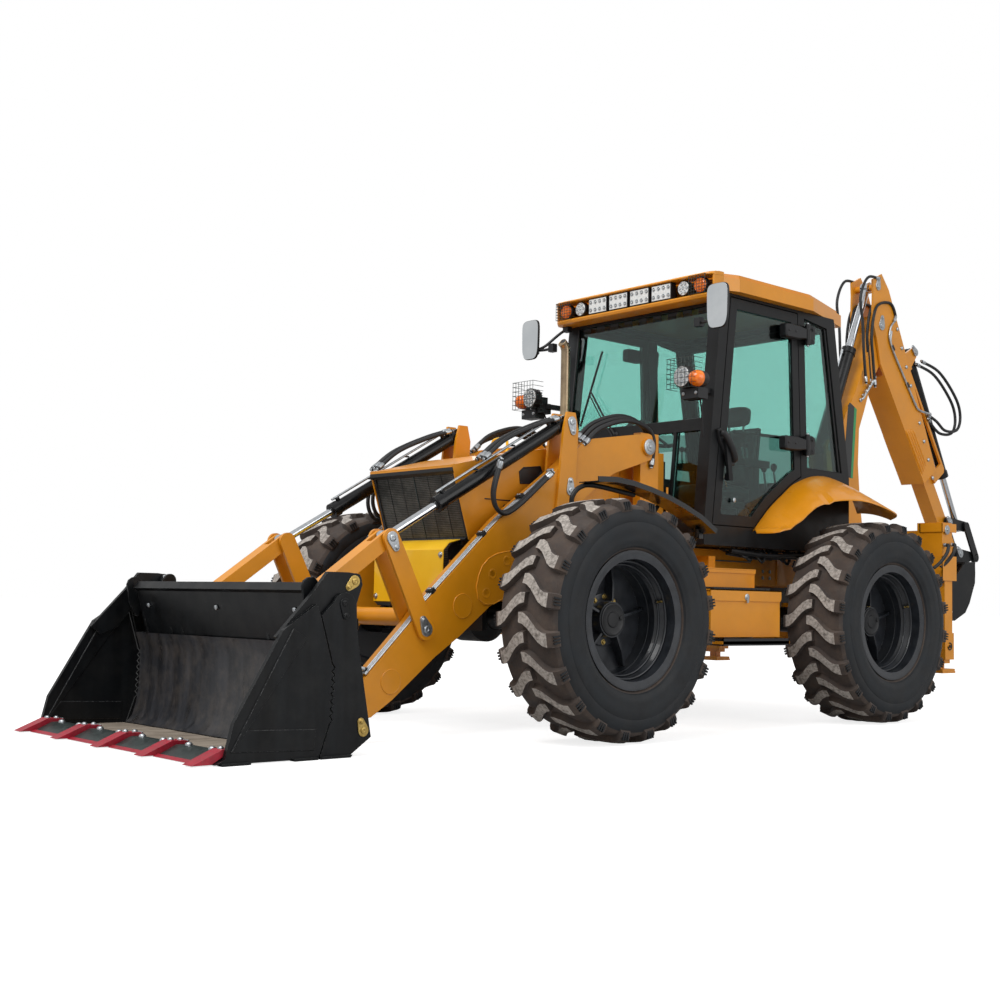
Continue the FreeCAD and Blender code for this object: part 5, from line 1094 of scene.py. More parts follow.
class LOADER_OT_lamps(bpy.types.Operator):
    """Adds the roof lamps, work lamps with side markers and guards, beacon lens and mirrors"""
    bl_idname = "loader.lamps"
    bl_label = "Lamps and mirrors"

    def execute(self, context):
        shape = Shape()
        for x in (-264, -88, 88, 264):
            led_lamp(shape, x, 1188, 2538, 156, 98, 2, 4)
        for hand in (1, -1):
            round_lamp(shape, hand * 428, 1198, 2540, 46, 7, 1)
            round_lamp(shape, hand * 556, 1202, 2540, 48, 1, 3)
            wire_guard(shape, hand * 556 - 60, hand * 556 + 60, 1166, 2486, 2594, 6, 6, 4, deep=60)
            shape.block((hand * 428 - 16, 1234, 2524), (hand * 428 + 16, 1300, 2556), 0)
            shape.block((hand * 556 - 16, 1236, 2524), (hand * 556 + 16, 1302, 2556), 0)
        for x in (-264, -88, 88, 264):
            shape.block((x - 30, 1236, 2518), (x + 30, 1300, 2552), 0)
        piece("roof_lamps", shape, ["moulded_abs", "reflector", "zinc_plate", "amber_lens", "edge_steel"], "chassis",
              ease=1.0)

        shape = Shape()
        # moulded visor: a brow over the roof lamps, a lip below them and cheeks at the ends
        brow = [(1300, 2598), (1300, 2619), (1240, 2618), (1190, 2610), (1174, 2602), (1172, 2594), (1182, 2590),
                (1240, 2594)]
        lip = [(1312, 2500), (1210, 2490), (1188, 2486), (1184, 2478), (1192, 2462), (1210, 2456), (1308, 2458)]
        for line in (brow, lip):
            count = len(line)
            stations = [(-652, 0.72), (-640, 0.86), (-612, 0.96), (-560, 1.0), (560, 1.0), (612, 0.96), (640, 0.86),
                        (652, 0.72)]
            points = [(x, 1300 + (y - 1300) * deep, z) for x, deep in stations for y, z in line]
            faces = skin(len(stations), count)
            faces += [tuple(range(count)), tuple(range((len(stations) - 1) * count, len(stations) * count))]
            shape.put(points, faces, 0)
        cheek = [(1300, 2457), (1222, 2457), (1212, 2480), (1208, 2596), (1222, 2614), (1300, 2618)]
        for x in (-651, 639):
            shape.slab(cheek, x, x + 12, 0)
        piece("roof_visor", shape, ["amber_enamel"], "chassis", ease=2.0)

        shape = Shape()
        for hand in (1, -1):
            round_lamp(shape, hand * 629, 956, 1962, 62, 8, 1)
            for k in range(10):
                a = 2 * math.pi * k / 10
                shape.block((hand * 629 + 56 * math.cos(a) - 4, 1006, 1962 + 56 * math.sin(a) - 4),
                            (hand * 629 + 56 * math.cos(a) + 4, 1022, 1962 + 56 * math.sin(a) + 4), 0)
            shape.turned([(-60, 34), (-44, 46), (-8, 46), (-4, 44)], (hand * 722, 990, 1946), (0, -1, 0), 28, 0)
            shape.turned([(-4, 47), (16, 46), (40, 38), (52, 22), (56, 0.1)], (hand * 722, 990, 1946), (0, -1, 0),
                         28, 3)
            for q in (40, 30, 18):
                shape.ring((hand * 722, 990 - 58 + q * q * 0.024, 1946), (0, 1, 0), q, 1.8, n=30, m=6, paint=3)
            shape.block((hand * 668 - 74, 996, 1838), (hand * 668 + 52, 1080, 1896), 0)
            shape.block((hand * 650 - 20, 1010, 1890), (hand * 650 + 20, 1060, 1925), 0)
            for dx in (-58, 34):
                shape.bolt((hand * 668 + dx, 996, 1868), (0, -1, 0), 7, 2)
            a, b = sorted((hand * 556, hand * 740))
            wire_guard(shape, a, b, 916, 1890, 2062, 7, 6, 4, deep=90)
            shape.tube(flow([(hand * 629, 1030, 1930), (hand * 640, 1080, 1900), (hand * 632, 1130, 1800),
                             (hand * 610, 1170, 1640)], 6), 5, 8, 0)
        piece("work_lamps", shape, ["moulded_abs", "reflector", "zinc_plate", "amber_lens", "edge_steel"], "chassis",
              ease=0.8)

        shape = Shape()
        shape.turned([(0, 62), (8, 62), (10, 58)], (-420, 1500, 2618), (0, 0, 1), 40, 1)
        shape.turned([(8, 50), (20, 52), (50, 50), (64, 44), (72, 26), (74.5, 0.1)], (-420, 1500, 2617), (0, 0, 1),
                     40, 0)
        for z in range(2632, 2676, 7):
            shape.ring((-420, 1500, z), (0, 0, 1), 51, 1.6, n=40, m=6)
        piece("beacon_lens", shape, ["amber_lens", "moulded_abs"], "chassis")

        shape = Shape()
        for hand in (1, -1):
            arm = [(hand * 612, 1262, 2446), (hand * 640, 1210, 2400), (hand * 690, 1150, 2330),
                   (hand * 740, 1120, 2302)]
            shape.tube(flow(arm, 6), 9, 12, 0)
            shape.tube(flow([(hand * 612, 1130, 2302), (hand * 660, 1124, 2296), (hand * 740, 1120, 2300)], 6), 9, 12,
                       0)
            shape.block((hand * 606 - 22, 1112, 2276), (hand * 606 + 22, 1150, 2328), 0)
            shape.block((hand * 606 - 22, 1240, 2422), (hand * 606 + 22, 1278, 2474), 0)
            shape.turned([(-26, 18), (-20, 24), (20, 24), (26, 18)], (hand * 752, 1120, 2302), (0, 0, 1), 20, 0)
            # shell and glass with rounded corners, leaning out
            sides = 40
            rings = []
            for y, grow_by in ((1108, -26), (1110, -8), (1102, 0), (1092, 0), (1087, -3)):
                ring = []
                for k in range(sides):
                    a = 2 * math.pi * k / sides
                    c, s = math.cos(a), math.sin(a)
                    px = math.copysign(abs(c) ** 0.45, c) * (84 + grow_by)
                    pz = math.copysign(abs(s) ** 0.45, s) * (129 + grow_by)
                    ring.append((hand * 775 + px * (0.90 + 0.10 * s), y, 2370 + pz))
                rings.append(ring)
            verts = [p for ring in rings for p in ring]
            faces = skin(len(rings), sides)
            faces.append(tuple(range(sides))[::-1])
            shape.put(verts, faces, 0)
            shape.put([(x, y - 0.2, z) for x, y, z in rings[-1]], [tuple(range(sides))], 1)
            back = [(hand * 775 + (x - hand * 775) * 0.96, 1110.4, 2370 + (z - 2370) * 0.96) for x, _y, z in rings[1]]
            shape.put(back, [tuple(range(sides))[::-1]], 1)
        made = piece("mirror_shells", shape, ["moulded_abs", "mirror_silver"], "chassis")
        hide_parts("mirrors")
        return {"FINISHED"}


def padded_block(name, low, high, crown, round_r, material, body, lean=0.0, about=None):
    """A stuffed cushion: a rounded closed form whose faces swell between its edges."""
    centre = [(a + b) / 2 for a, b in zip(low, high)]
    half = [(b - a) / 2 for a, b in zip(low, high)]
    grid = 14
    shape = Shape()
    index = {}
    verts = []
    faces = []

    def point(u, v, w):
        key = (round(u, 5), round(v, 5), round(w, 5))
        if key not in index:
            p = []
            for k, c in enumerate((u, v, w)):
                others = [abs(q) for i, q in enumerate((u, v, w)) if i != k]
                keep = 1.0 - round_r / half[k] * (1 - math.sqrt(max(0.0, 1 - max(0.0, max(others) - 0.75) ** 2 * 8)))
                swell = crown * (1 - others[0] ** 2) * (1 - others[1] ** 2) if abs(c) > 0.999 else 0.0
                p.append(c * (half[k] * keep - crown) + math.copysign(swell, c))
            index[key] = len(verts)
            verts.append(p)
        return index[key]

    steps = [-1 + 2 * k / grid for k in range(grid + 1)]
    for axis in range(3):
        for end in (-1, 1):
            for i in range(grid):
                for j in range(grid):
                    quad = []
                    for a, b in ((i, j), (i + 1, j), (i + 1, j + 1), (i, j + 1)):
                        c = [steps[a], steps[b]]
                        c.insert(axis, end)
                        quad.append(point(*c))
                    flip = (end > 0) == (axis == 1)
                    faces.append(tuple(quad[::-1] if flip else quad))
    turn = Matrix.Rotation(lean, 3, "X")
    pivot = Vector(about or centre)
    placed = [turn @ (Vector(p) + Vector(centre) - pivot) + pivot for p in verts]
    shape.put(placed, faces, 0)
    made = piece(name, shape, [material], body, crease=180.0)
    fill_out(made, crown)
    smooth = made.modifiers.new("Smooth", "SUBSURF")
    smooth.levels = 1
    smooth.render_levels = 1
    return made


def fill_out(made, most):
    """Fills the cushion by cloth pressure, with no point moving further than most, in millimetres."""
    scene = bpy.context.scene
    mesh = made.data
    before = [v.co.copy() for v in mesh.vertices]
    cloth = made.modifiers.new("Cloth", "CLOTH")
    cloth.settings.use_pressure = True
    cloth.settings.uniform_pressure_force = 4.0
    cloth.settings.effector_weights.gravity = 0.0
    cloth.settings.mass = 0.3
    for number in range(1, 21):
        scene.frame_set(number)
    posed = made.evaluated_get(bpy.context.evaluated_depsgraph_get())
    after = [v.co.copy() for v in posed.data.vertices]
    made.modifiers.remove(cloth)
    for v, a, b in zip(mesh.vertices, before, after):
        move = b - a
        if move.length > most / 1000.0:
            move = move.normalized() * (most / 1000.0)
        v.co = a + move
    mesh.update()
    scene.frame_set(1)


class LOADER_OT_seat(bpy.types.Operator):
    """Adds the stuffed seat with its armrests and control consoles"""
    bl_idname = "loader.seat"
    bl_label = "Seat"

    def execute(self, context):
        low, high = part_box("seat")
        front = (low[1] - AXLE_Y) * 1000.0
        rear = (high[1] - AXLE_Y) * 1000.0
        base = padded_block("seat_cushion", (-205, front + 4, 1338), (205, front + 420, 1440), 14, 30, "grained_vinyl",
                            "seat")
        back = padded_block("seat_back", (-196, rear - 165, 1420), (196, rear - 66, 1830), 13, 30, "grained_vinyl",
                            "seat", lean=-0.11, about=(0, rear - 110, 1420))
        head = padded_block("seat_headrest", (-120, rear - 152, 1850), (120, rear - 76, 1985), 10, 26, "grained_vinyl",
                            "seat", lean=-0.11, about=(0, rear - 110, 1420))
        for made in (base, back, head):
            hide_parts("seat")
        shape = Shape()
        mid = (front + rear) / 2
        shape.block((-185, front + 20, 1300), (185, front + 400, 1338), 0)
        shape.slab([(rear - 92, 1400), (rear - 60, 1404), (rear - 8, 1828), (rear - 30, 1834)], -170, 170, 0)
        for hand in (1, -1):
            shape.rod((hand * 60, rear - 62, 1790), (hand * 60, rear - 32, 1930), 8, 12, 1)
            shape.block((hand * 248 - 32, mid - 60, 1560), (hand * 248 + 32, rear - 60, 1604), 0)
            shape.block((hand * 236 - 14, mid + 60, 1340), (hand * 236 + 14, mid + 130, 1562), 0)
            for y in (mid - 36, mid + 8):
                shape.tube(flow([(hand * 248, y, 1604), (hand * 248, y - 4, 1650), (hand * 244, y - 10, 1690)], 4), 6,
                           8, 1)
                shape.turned([(-18, 8), (-8, 17), (8, 18), (16, 10), (18, 0.1)], (hand * 244, y - 10, 1696), (0, 0, 1),
                             16, 0)
        shape.rod((206, front + 120, 1420), (214, front + 60, 1520), 5, 8, 2)
        piece("seat_frame", shape, ["moulded_abs", "zinc_plate", "amber_lens"], "seat", ease=3.0)
        return {"FINISHED"}


def grip_step(shape, x0, x1, y0, y1, z, paint, tooth=12, tall=9, rail=5):
    """Serrated step rails: saw teeth along two edges with cross bars between."""
    for x in (x0, x1 - rail, (x0 + x1) / 2):
        count = int((y1 - y0) / tooth)
        line = [(y0, z)]
        for k in range(count):
            a = y0 + k * (y1 - y0) / count
            b = y0 + (k + 1) * (y1 - y0) / count
            line += [(a, z + 4), ((a + b) / 2, z + 4 + tall), (b, z + 4)]
        line.append((y1, z))
        for (ya, za), (yb, zb) in zip(line[1:-1], line[2:-1]):
            if yb - ya > 0.01:
                shape.slab([(ya, z), (yb, z), (yb, zb), (ya, za)], x, x + rail, paint)
    for k in range(13):
        y = y0 + (y1 - y0 - rail) * k / 12
        shape.block((x0, y, z), (x1, y + rail, z + 7), paint)


class LOADER_OT_boxes(bpy.types.Operator):
    """Adds lids, latches and serrated steps to the side boxes, and stays under the fenders and cab"""
    bl_idname = "loader.boxes"
    bl_label = "Boxes, steps and fender stays"

    def execute(self, context):
        shape = Shape()
        shape.block((560, 800, 756), (986, 1415, 762), 0)
        shape.slab([(800, 762), (1415, 762), (1415, 716), (1404, 700), (811, 700), (800, 716)], 979.3, 986, 0)
        shape.block((840, 866, 875), (851, 1357, 881), 0)
        shape.slab([(866, 881), (1357, 881), (1357, 856), (866, 856)], 845.3, 850, 0)
        shape.turned([(0, 19), (3, 19), (5, 16), (5, 8), (9, 7)], (986, 1105, 722), (1, 0, 0), 28, 1)
        shape.slab(hull_oval((1105, 722), (1105, 697), 10, 7), 989, 994, 1)
        grip_step(shape, 862, 974, 830, 1330, 762, 2)
        grip_step(shape, 968, 1066, 806, 1374, 486, 2)
        shape.block((1060, 802, 462), (1068, 1378, 500), 2)
        shape.block((966, 802, 462), (1068, 808, 500), 2)
        shape.block((966, 1372, 462), (1068, 1378, 500), 2)
        for y in (900, 1320):
            for z in (560, 690):
                shape.bolt((979, y, z), (1, 0, 0), 1, 0, washer=False)
            shape.bolt((1020, y, 468), (0, 0, -1), 8, 1)
        # bright edge trim and bolts on the deck sides
        shape.block((400, 1468, 940), (406, 1883, 948), 1)
        for y, z in ((2010, 890), (2010, 850), (2080, 890), (2080, 850), (2460, 880), (2460, 840)):
            shape.bolt((400, y, z), (1, 0, 0), 8, 1)
        shape.slab([(2150, 812), (2240, 812), (2190, 1000), (2150, 1000)], 400, 405, 0)
        shape.mirrored()
        piece("box_fittings", shape, ["amber_enamel", "zinc_plate", "moulded_abs"], "chassis",
              ease=0.8)

        shape = Shape()
        # tubular stays under the front fenders and hanging harness below the cab
        shape.tube(flow([(745, -18, 1160), (748, -14, 1215), (756, 30, 1262), (770, 120, 1277), (770, 420, 1248)], 8),
                   13, 12, 0)
        shape.tube(flow([(520, 990, 985), (640, 968, 985), (760, 930, 1040), (800, 900, 1096)], 6), 12, 12, 0)
        shape.tube(flow([(520, 640, 1000), (640, 640, 1080), (760, 620, 1200)], 6), 12, 12, 0)
        for k in range(11):
            y = 1480 + 74 * k
            dip = 10 + 13 * ((k * 5) % 4)
            x = 560 + 12 * ((k * 3) % 5)
            shape.tube(flow([(x - 60, y - 30, 1012), (x - 20, y - 8, 1000 - dip * 0.5), (x, y + 30, 985 - dip),
                             (x - 10, y + 70, 1000 - dip * 0.4), (x - 50, y + 96, 1012)], 6), 7 + (k % 3) * 2, 8, 1)
        shape.tube(flow([(600, 1440, 996), (606, 1800, 976), (600, 2120, 992), (596, 2320, 984)], 8), 14, 10, 1)
        shape.tube(flow([(572, 1440, 980), (570, 1760, 960), (574, 2060, 974), (566, 2320, 962)], 8), 10, 10, 1)
        # fender bolts with large washers
        for y, z in ((300, 1283), (570, 1230)):
            shape.turned([(0, 14), (2, 14), (6, 8), (8, 3)], (812, y, z + 2), (0, 0.12, 0.99), 16, 2)
        shape.mirrored()
        piece("fender_stays", shape, ["black_enamel", "hose_rubber", "zinc_plate"], "chassis")
        return {"FINISHED"}


DIP_PIN = (3805.0, 2750.0)


def dip(a, o):
    """A point a along the dipper from its pivot and o towards its cylinder side."""
    return (DIP_PIN[0] + 0.5565 * a + 0.8309 * o, DIP_PIN[1] - 0.8309 * a + 0.5565 * o)


class LOADER_OT_digger(bpy.types.Operator):
    """Adds film, bolts, pipes, flutes, keeper plates and teeth caps to the digging arm"""
    bl_idname = "loader.digger"
    bl_label = "Digging arm"

    def execute(self, context):
        shape = Shape()
        film = [(3408, 2118), (3430, 2140), (3505, 2106), (3453, 1597), (3342, 1605)]
        edge = [(3486, 2113), (3515, 2100), (3466, 1596), (3440, 1598)]
        shape.slab(film, 78, 78.8, 1)
        shape.slab(edge, 78.4, 79.2, 2)
        for k, (y, z) in enumerate(((3557, 2172), (3592, 2209), (3627, 2246), (3662, 2283))):
            shape.turned([(0, 15), (10, 15), (12, 12)], (78, y, z), (1, 0, 0), 16, 3)
            shape.tube(flow([(86, y, z), (100, y + 4, z + 8), (104, y + 26, z + 36), (104, y + 40, z + 60)], 5), 8, 10,
                       3)
            shape.turned([(0, 12), (18, 12), (20, 9)], (104, y + 38, z + 58), (0, 0.5, 0.86), 6, 3)
        for pin, bolt in (((3220, 1550), (3262, 1580)), ((3190, 1800), (3236, 1826)), ((3640, 600), (3600, 640))):
            keeper(shape, pin, bolt, 78, 1, 3, r=32, small=18)
        shape.mirrored()
        piece("boom_fittings", shape, ["amber_enamel", "film_black", "film_green", "zinc_plate"], "boom",
              ease=0.6)

        shape = Shape()
        for k in range(9):
            y = 4009 + (4493 - 4009) * k / 8
            z = 2752 + (1675 - 2752) * k / 8
            shape.turned([(0, 15), (7, 14), (11, 9), (13, 3)], (98, y, z), (1, 0, 0), 16, 1)
        for k in range(4):
            o = -142 + 27 * k
            a, b = dip(800 + 14 * k, o), dip(1180 - 10 * k, o * 0.92)
            mid = dip(990, o * 0.97)
            shape.tube([(90, a[0], a[1]), (98, *dip(830 + 14 * k, o)), (99, *mid), (98, *dip(1150 - 10 * k, o * 0.93)),
                        (90, b[0], b[1])], 12, 10, 0)
        keeper(shape, DIP_PIN, (DIP_PIN[0] + 6, DIP_PIN[1] + 58), 98, 1, 1, r=36, small=20)
        tip = dip(-262, 118)
        keeper(shape, tip, (tip[0] + 4, tip[1] + 54), 98, 1, 1, r=30, small=18)
        route = [(108, 3960, 2806), (108, 3906, 2742), (108, 3906, 2632), (108, 4062, 2430), (108, 4230, 2226),
                 (108, 4290, 2176), (108, 4436, 2160)]
        shape.tube(flow(route, 6), 8, 10, 1)
        shape.tube(flow([(108, y + 12, z - 18) for _x, y, z in route[1:5]], 6), 8, 10, 1)
        for y, z in ((3930, 2600), (4130, 2346)):
            shape.block((98, y - 16, z - 10), (118, y + 26, z + 10), 2, Matrix.Rotation(-0.9, 3, "X"))
        shape.turned([(0, 13), (20, 13), (22, 10)], (108, 4430, 2160), (0, 1, -0.1), 6, 1)
        shape.turned([(0, 13), (20, 13), (22, 10)], (108, 3954, 2800), (0, 0.6, 0.8), 6, 1)
        shape.mirrored()
        piece("dipper_fittings", shape, ["amber_enamel", "zinc_plate", "moulded_abs"], "dipper",
              ease=0.6)

        shape = Shape()
        keeper(shape, dip(385, 340), (dip(385, 340)[0] - 40, dip(385, 340)[1] + 34), 75, 1, 0, r=28, small=17)
        keeper(shape, (4900, 1115), (4862, 1150), 98, 1, 0, thick=5, r=34, small=18)
        rocker = dip(1967.8 - 275, 16.4)
        keeper(shape, rocker, (rocker[0] - 40, rocker[1] + 30), 92, 1, 0, thick=5, r=27, small=16)
        shape.mirrored()
        piece("slide_keepers", shape, ["zinc_plate"], "dipper_slide", ease=0.6)

        shape = Shape()
        for x in (-131, 0, 131):
            for near, far in ((-31, -28.2), (28.2, 31)):
                shape.slab([(4374, 801), (4438, 764), (4500, 738), (4500, 731), (4470, 708), (4464, 712)], x + near,
                           x + far, 0)
            shape.bolt((x + 31, 4486, 726), (1, 0, 0), 7, 1, washer=False)
        for hand in (1, -1):
            line = [(4850, 1034), (4997, 1044), (5000, 965), (4994, 887), (4962, 828), (4912, 730), (4848, 655),
                    (4690, 592), (4545, 630), (4455, 735)]
            shape.tube([(hand * 163, y * 0.985 + 4780 * 0.015, z * 0.985 + 860 * 0.015) for y, z in line], 5, 6, 0)
            for y, z in ((4560, 700), (4640, 660)):
                shape.turned([(0, 14), (4, 14), (8, 8), (9, 2)], (hand * 165, y, z), (hand, 0, 0), 16, 1)
        piece("dig_bucket_fittings", shape, ["bucket_black", "zinc_plate"], "dig_bucket", ease=0.8)

        shape = Shape()
        # stabiliser collars, hose elbows and pin discs
        x0, x1, y0, y1 = 838, 1005, 3089, 3256
        for z0, z1 in ((862, 1020), (1176, 1232)):
            shape.block((x1 - 6, y0, z0), (x1 + 2, y1, z1), 0)
            shape.block((x0, y0, z0), (x1, y0 + 7, z1), 0)
            shape.block((x0, y0, z0), (x0 + 8, y1, z1), 0)
        shape.turned([(0, 30), (4, 30), (5, 27), (5, 9), (10, 8)], (1007, 3140, 1190), (1, 0, 0), 32, 1)
        for y, z in ((3110, 1090), (3190, 1096)):
            shape.turned([(0, 14), (12, 14), (14, 11)], (1005, y, z), (1, 0, 0), 6, 1)
            shape.tube(flow([(1016, y, z), (1034, y, z - 4), (1040, y - 26, z - 50), (1016, y - 60, z - 110),
                             (990, y - 100, z - 150)], 6), 11, 10, 2)
        shape.ring((1006, 3172, 440), (1, 0, 0), 22, 4, n=24, m=8, paint=2, sweep=290)
        shape.turned([(0, 10), (6, 9), (8, 4)], (1005, 3172, 440), (1, 0, 0), 12, 2)
        shape.mirrored()
        for hand in (1, -1):
            shape.block((hand * 760 - 60, 3070, 1040), (hand * 760 + 60, 3078, 1120), 3)
            shape.block((hand * 760 - 52, 3066, 1048), (hand * 760 + 52, 3071, 1112), 4)
        piece("rear_frame_fittings", shape, ["amber_enamel", "zinc_plate", "hose_rubber", "moulded_abs",
                                             "tooth_paint"], "chassis", ease=0.8)

        for side, hand in SIDES:
            shape = Shape()
            shape.block((hand * 922 - 78, 3094, 268), (hand * 922 + 78, 3250, 281), 0)
            for dx in (-55, 55):
                for dy in (-55, 55):
                    shape.bolt((hand * 922 + dx, 3172 + dy, 281), (0, 0, 1), 9, 1)
            piece("stabiliser_foot_" + side, shape, ["amber_enamel", "zinc_plate"], "stabiliser_" + side,
                  ease=1.0)

        shape = Shape()
        for hand in (1, -1):
            for z in (455, 500, 1110, 1160):
                shape.bolt((hand * 190, 3226, z), (0, 1, 0), 12, 1)
            shape.turned([(0, 38), (8, 38), (10, 34)], (0, 3400, 870), (0, 0, 1), 32, 1)
        piece("carriage_bolts", shape, ["amber_enamel", "zinc_plate"], "hoe_carriage", ease=0.8)
        return {"FINISHED"}


def hoses(name, paths, r, body, to=None):
    """Rubber hoses with crimped zinc ends. Between two bodies they ride on neither and stay where they are drawn."""
    shape = Shape()
    for path in paths:
        line = flow(path, 8)
        shape.tube(line, r, 12, 0)
        for a, b in ((line[0], line[1]), (line[-1], line[-2])):
            along = (b - a).normalized()
            shape.turned([(-6, r * 0.85), (10, r * 0.85), (12, r * 1.25), (46, r * 1.25), (50, r * 1.02)], a,
                         along, 12, 1)
    made = piece(name, shape, ["hose_rubber", "zinc_plate"], None if to else body)
    if to:
        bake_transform(made)
    return made


class LOADER_OT_hoses(bpy.types.Operator):
    """Adds the hydraulic hoses that loop over each joint"""
    bl_idname = "loader.hoses"
    bl_label = "Hoses"

    def execute(self, context):
        r = context.scene.loader_sizes.hose_width / 2
        for side, hand in SIDES:
            arch = [(327, 1560), (454, 1661), (667, 1724), (833, 1699), (891, 1628), (872, 1480)]
            paths = [[(hand * (424 + 30 * k), y, z - 16 * k) for y, z in arch] for k in range(3)]
            hoses("arch_hoses_" + side, paths, r, "loader_arms", "chassis")
            over = [(-380, 1392), (-232, 1505), (-22, 1598), (150, 1655)]
            paths = [[(hand * (420 + 28 * k), y, z + 6 * (k % 2)) for y, z in over] for k in range(3)]
            hoses("tilt_hoses_" + side, paths, r * 0.85, "tilt_barrels")
            loop = [(-299, 1400), (-343, 1221), (-291, 1132), (-177, 1163), (84, 1363)]
            paths = [[(hand * (512 - 6 * n + 26 * k), y - 14 * k, z - 10 * k) for n, (y, z) in enumerate(loop)]
                     for k in range(2)]
            hoses("tilt_loops_" + side, paths, r * 0.85, "tilt_barrels", "loader_arms")
            low = [(-1080, 336), (-1150, 352), (-1290, 452), (-1420, 470), (-1500, 380)]
            paths = [[(hand * (453 + 26 * k - 34 * n), y, z + 8 * k) for n, (y, z) in enumerate(low)]
                     for k in range(2)]
            hoses("bucket_hoses_" + side, paths, r * 0.7, "loader_arms", "bucket")
            first = [(3707, 2284), (3680, 2480), (3664, 2671), (3729, 2878), (3904, 2930), (3975, 2850), (3956, 2800)]
            second = [(3600, 2296), (3572, 2520), (3558, 2728), (3530, 2917), (3621, 3075), (3773, 3095)]
            paths = [[(hand * 106, y, z) for y, z in first],
                     [(hand * 72, y - 6, z + 10) for y, z in first[:-1]] + [(hand * 72, 3930, 2800)]]
            hoses("elbow_hoses_" + side, paths, r * 0.8, "boom", "dipper")
            hoses("crest_hoses_" + side, [[(hand * 100, y, z) for y, z in second]], r * 0.8, "boom", "dipper")
            big = [(4364, 2560), (4625, 2502), (4860, 2330), (4925, 2190), (4870, 2080), (4700, 2060), (4574, 2119),
                   (4440, 2160)]
            if hand > 0:
                hoses("reach_hoses", [[(86, y, z) for y, z in big],
                                      [(60, y - 30, z - 24) for y, z in big[:-1]] + [(86, 4460, 2128)]],
                      r * 0.85, "dipper_slide", "dipper")
            paths = [[(hand * (60 + 40 * k), 3030, 720 + 30 * k), (hand * (90 + 40 * k), 3090, 760 + 30 * k),
                      (hand * (110 + 34 * k), 3150, 700 + 30 * k), (hand * (90 + 30 * k), 3240, 640 + 30 * k)]
                     for k in range(3)]
            hoses("swing_hoses_" + side, paths, r * 0.8, "chassis")
        return {"FINISHED"}


# Stage: metres, degrees and watts.
FLOOR_REACH = 120.0
LAMP_TARGET = (0.0, 0.6, 1.2)
LAMP_DISTANCE = 10.0
LAMPS = (("key", (0.15, -0.75, 0.75), 5.0, 560.0),
         ("fill", (0.9, 0.1, 0.35), 7.0, 240.0),
         ("rear", (-0.7, 0.7, 0.5), 6.0, 200.0))
CAMERA_AT = (5.724, -6.4565, 0.676)
CAMERA_YAW_PITCH_ROLL = (48.184, 4.176, 1.117)
SENSOR_MM = 36.0
LENS_MM = 49.74


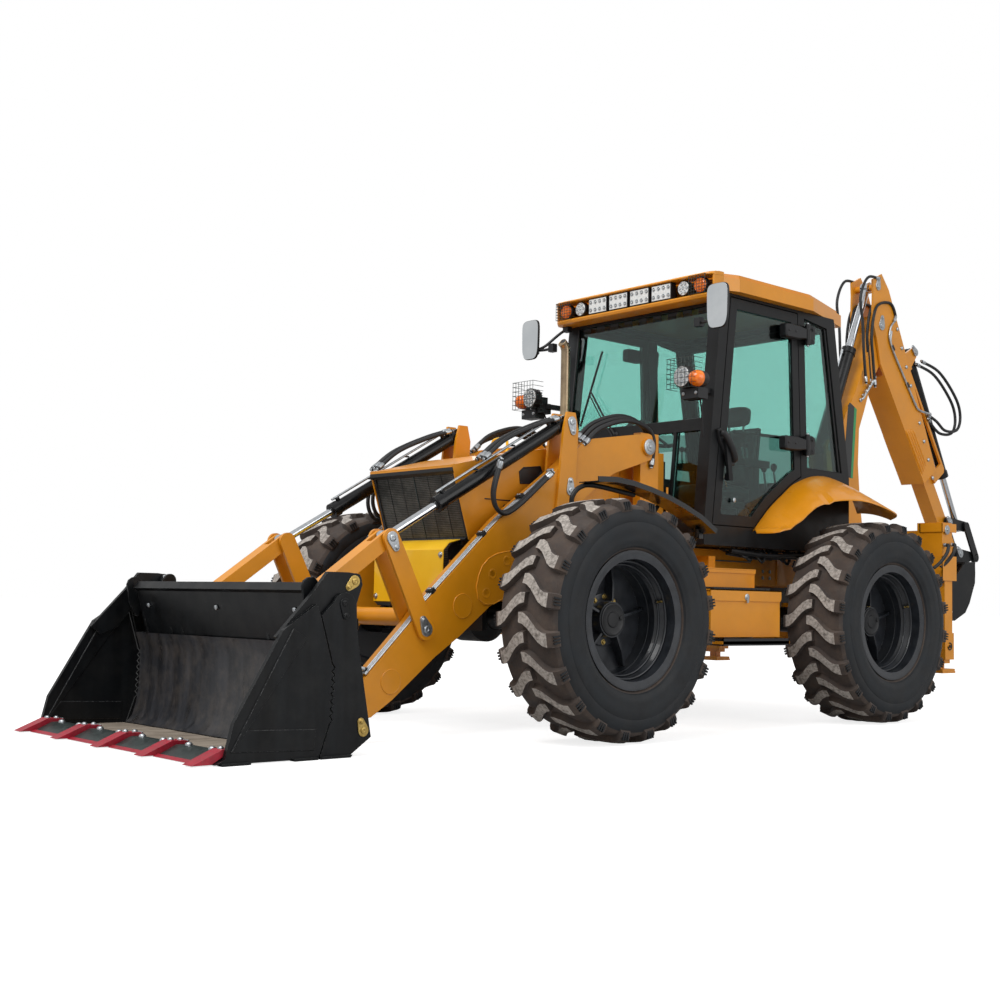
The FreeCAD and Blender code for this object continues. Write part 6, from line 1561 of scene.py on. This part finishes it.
class LOADER_OT_stage(bpy.types.Operator):
    """Adds the pale floor, the soft lamps and the camera"""
    bl_idname = "loader.stage"
    bl_label = "Floor, lamps and camera"

    def execute(self, context):
        scene = context.scene
        # matt white paper: pale and even, and it keeps the machine's soft shadow
        paper = bpy.data.materials.new("matt_white_paper")
        paper.use_nodes = True
        tree = paper.node_tree
        tree.nodes.clear()
        spot = grow(tree, "ShaderNodeTexCoord")
        fibre = grow(tree, "ShaderNodeTexNoise", {"Scale": 60.0, "Detail": 3.0}, {"Vector": spot.outputs["Object"]})
        tint = grow(tree, "ShaderNodeMix", {"A": linear("E9E9E9"), "B": linear("EEEEEE")},
                    {"Factor": fibre.outputs[0]}, data_type="RGBA")
        body = grow(tree, "ShaderNodeBsdfPrincipled", {"Roughness": 0.9}, {"Base Color": tint.outputs["Result"]})
        seen = grow(tree, "ShaderNodeLightPath")
        lift = grow(tree, "ShaderNodeMapRange", {"To Max": 1.9}, {"Value": seen.outputs["Is Camera Ray"]})
        glow = grow(tree, "ShaderNodeEmission", {"Color": (1, 1, 1, 1)}, {"Strength": lift.outputs[0]})
        soft = grow(tree, "ShaderNodeMixShader", {"Fac": 0.42}, {1: body.outputs[0], 2: glow.outputs[0]})
        grow(tree, "ShaderNodeOutputMaterial", None, {"Surface": soft.outputs[0]})
        low_z = CAD_BOX[0][2]
        mesh = bpy.data.meshes.new("floor")
        mesh.from_pydata([(x * FLOOR_REACH, y * FLOOR_REACH, low_z) for x, y in ((-1, -1), (1, -1), (1, 1), (-1, 1))],
                         [], [(0, 1, 2, 3)])
        mesh.materials.append(paper)
        floor = bpy.data.objects.new("floor", mesh)
        scene.collection.objects.link(floor)

        world = bpy.data.worlds.new("studio")
        scene.world = world
        world.use_nodes = True
        tree = world.node_tree
        tree.nodes.clear()
        path = grow(tree, "ShaderNodeLightPath")
        either = grow(tree, "ShaderNodeMath", None, {0: path.outputs["Is Camera Ray"],
                                                     1: path.outputs["Is Transmission Ray"]}, operation="MAXIMUM")
        level = grow(tree, "ShaderNodeMapRange", {"To Min": 0.62, "To Max": 1.0}, {"Value": either.outputs[0]})
        sky = grow(tree, "ShaderNodeBackground", {"Color": (1, 1, 1, 1)}, {"Strength": level.outputs[0]})
        grow(tree, "ShaderNodeOutputWorld", None, {"Surface": sky.outputs[0]})

        target = Vector(LAMP_TARGET)
        for name, way, size, power in LAMPS:
            lamp = bpy.data.lights.new(name, "AREA")
            lamp.size = size
            lamp.energy = power
            made = bpy.data.objects.new(name, lamp)
            made.location = target + Vector(way).normalized() * LAMP_DISTANCE
            made.rotation_euler = (target - made.location).to_track_quat("-Z", "Y").to_euler()
            scene.collection.objects.link(made)

        yaw, pitch, roll = (math.radians(a) for a in CAMERA_YAW_PITCH_ROLL)
        ahead = Vector((-math.sin(yaw) * math.cos(pitch), math.cos(yaw) * math.cos(pitch), math.sin(pitch)))
        right = Vector((math.cos(yaw), math.sin(yaw), 0.0))
        above = right.cross(ahead)
        side = right * math.cos(roll) + above * math.sin(roll)
        above = above * math.cos(roll) - right * math.sin(roll)
        lens = bpy.data.cameras.new("camera")
        lens.sensor_width = SENSOR_MM
        lens.lens = LENS_MM
        lens.clip_end = 400.0
        camera = bpy.data.objects.new("camera", lens)
        turn = Matrix((side, above, -ahead)).transposed().to_4x4()
        camera.matrix_world = Matrix.Translation(CAMERA_AT) @ turn
        scene.collection.objects.link(camera)
        scene.camera = camera
        scene.view_settings.view_transform = "Standard"
        return {"FINISHED"}


STEPS = (LOADER_OT_finishes, LOADER_OT_tyres, LOADER_OT_rims, LOADER_OT_rams, LOADER_OT_arms, LOADER_OT_bucket,
         LOADER_OT_front, LOADER_OT_cab, LOADER_OT_lamps, LOADER_OT_seat, LOADER_OT_boxes, LOADER_OT_digger,
         LOADER_OT_hoses, LOADER_OT_stage)


class LOADER_PT_detail(bpy.types.Panel):
    """Lists the loader's sizes and its steps."""
    bl_label = "Backhoe loader"
    bl_space_type = "VIEW_3D"
    bl_region_type = "UI"
    bl_category = "Loader"

    def draw(self, context):
        for name in LoaderSizes.__annotations__:
            self.layout.prop(context.scene.loader_sizes, name)
        for step in STEPS:
            self.layout.operator(step.bl_idname)


def register():
    for made in (LoaderSizes, *STEPS, LOADER_PT_detail):
        bpy.utils.register_class(made)
    bpy.types.Scene.loader_sizes = bpy.props.PointerProperty(type=LoaderSizes)


def unregister():
    del bpy.types.Scene.loader_sizes
    for made in (LOADER_PT_detail, *reversed(STEPS), LoaderSizes):
        bpy.utils.unregister_class(made)


def main():
    register()
    for step in STEPS:
        group, name = step.bl_idname.split(".")
        getattr(getattr(bpy.ops, group), name)()


if __name__ == "__main__":
    main()
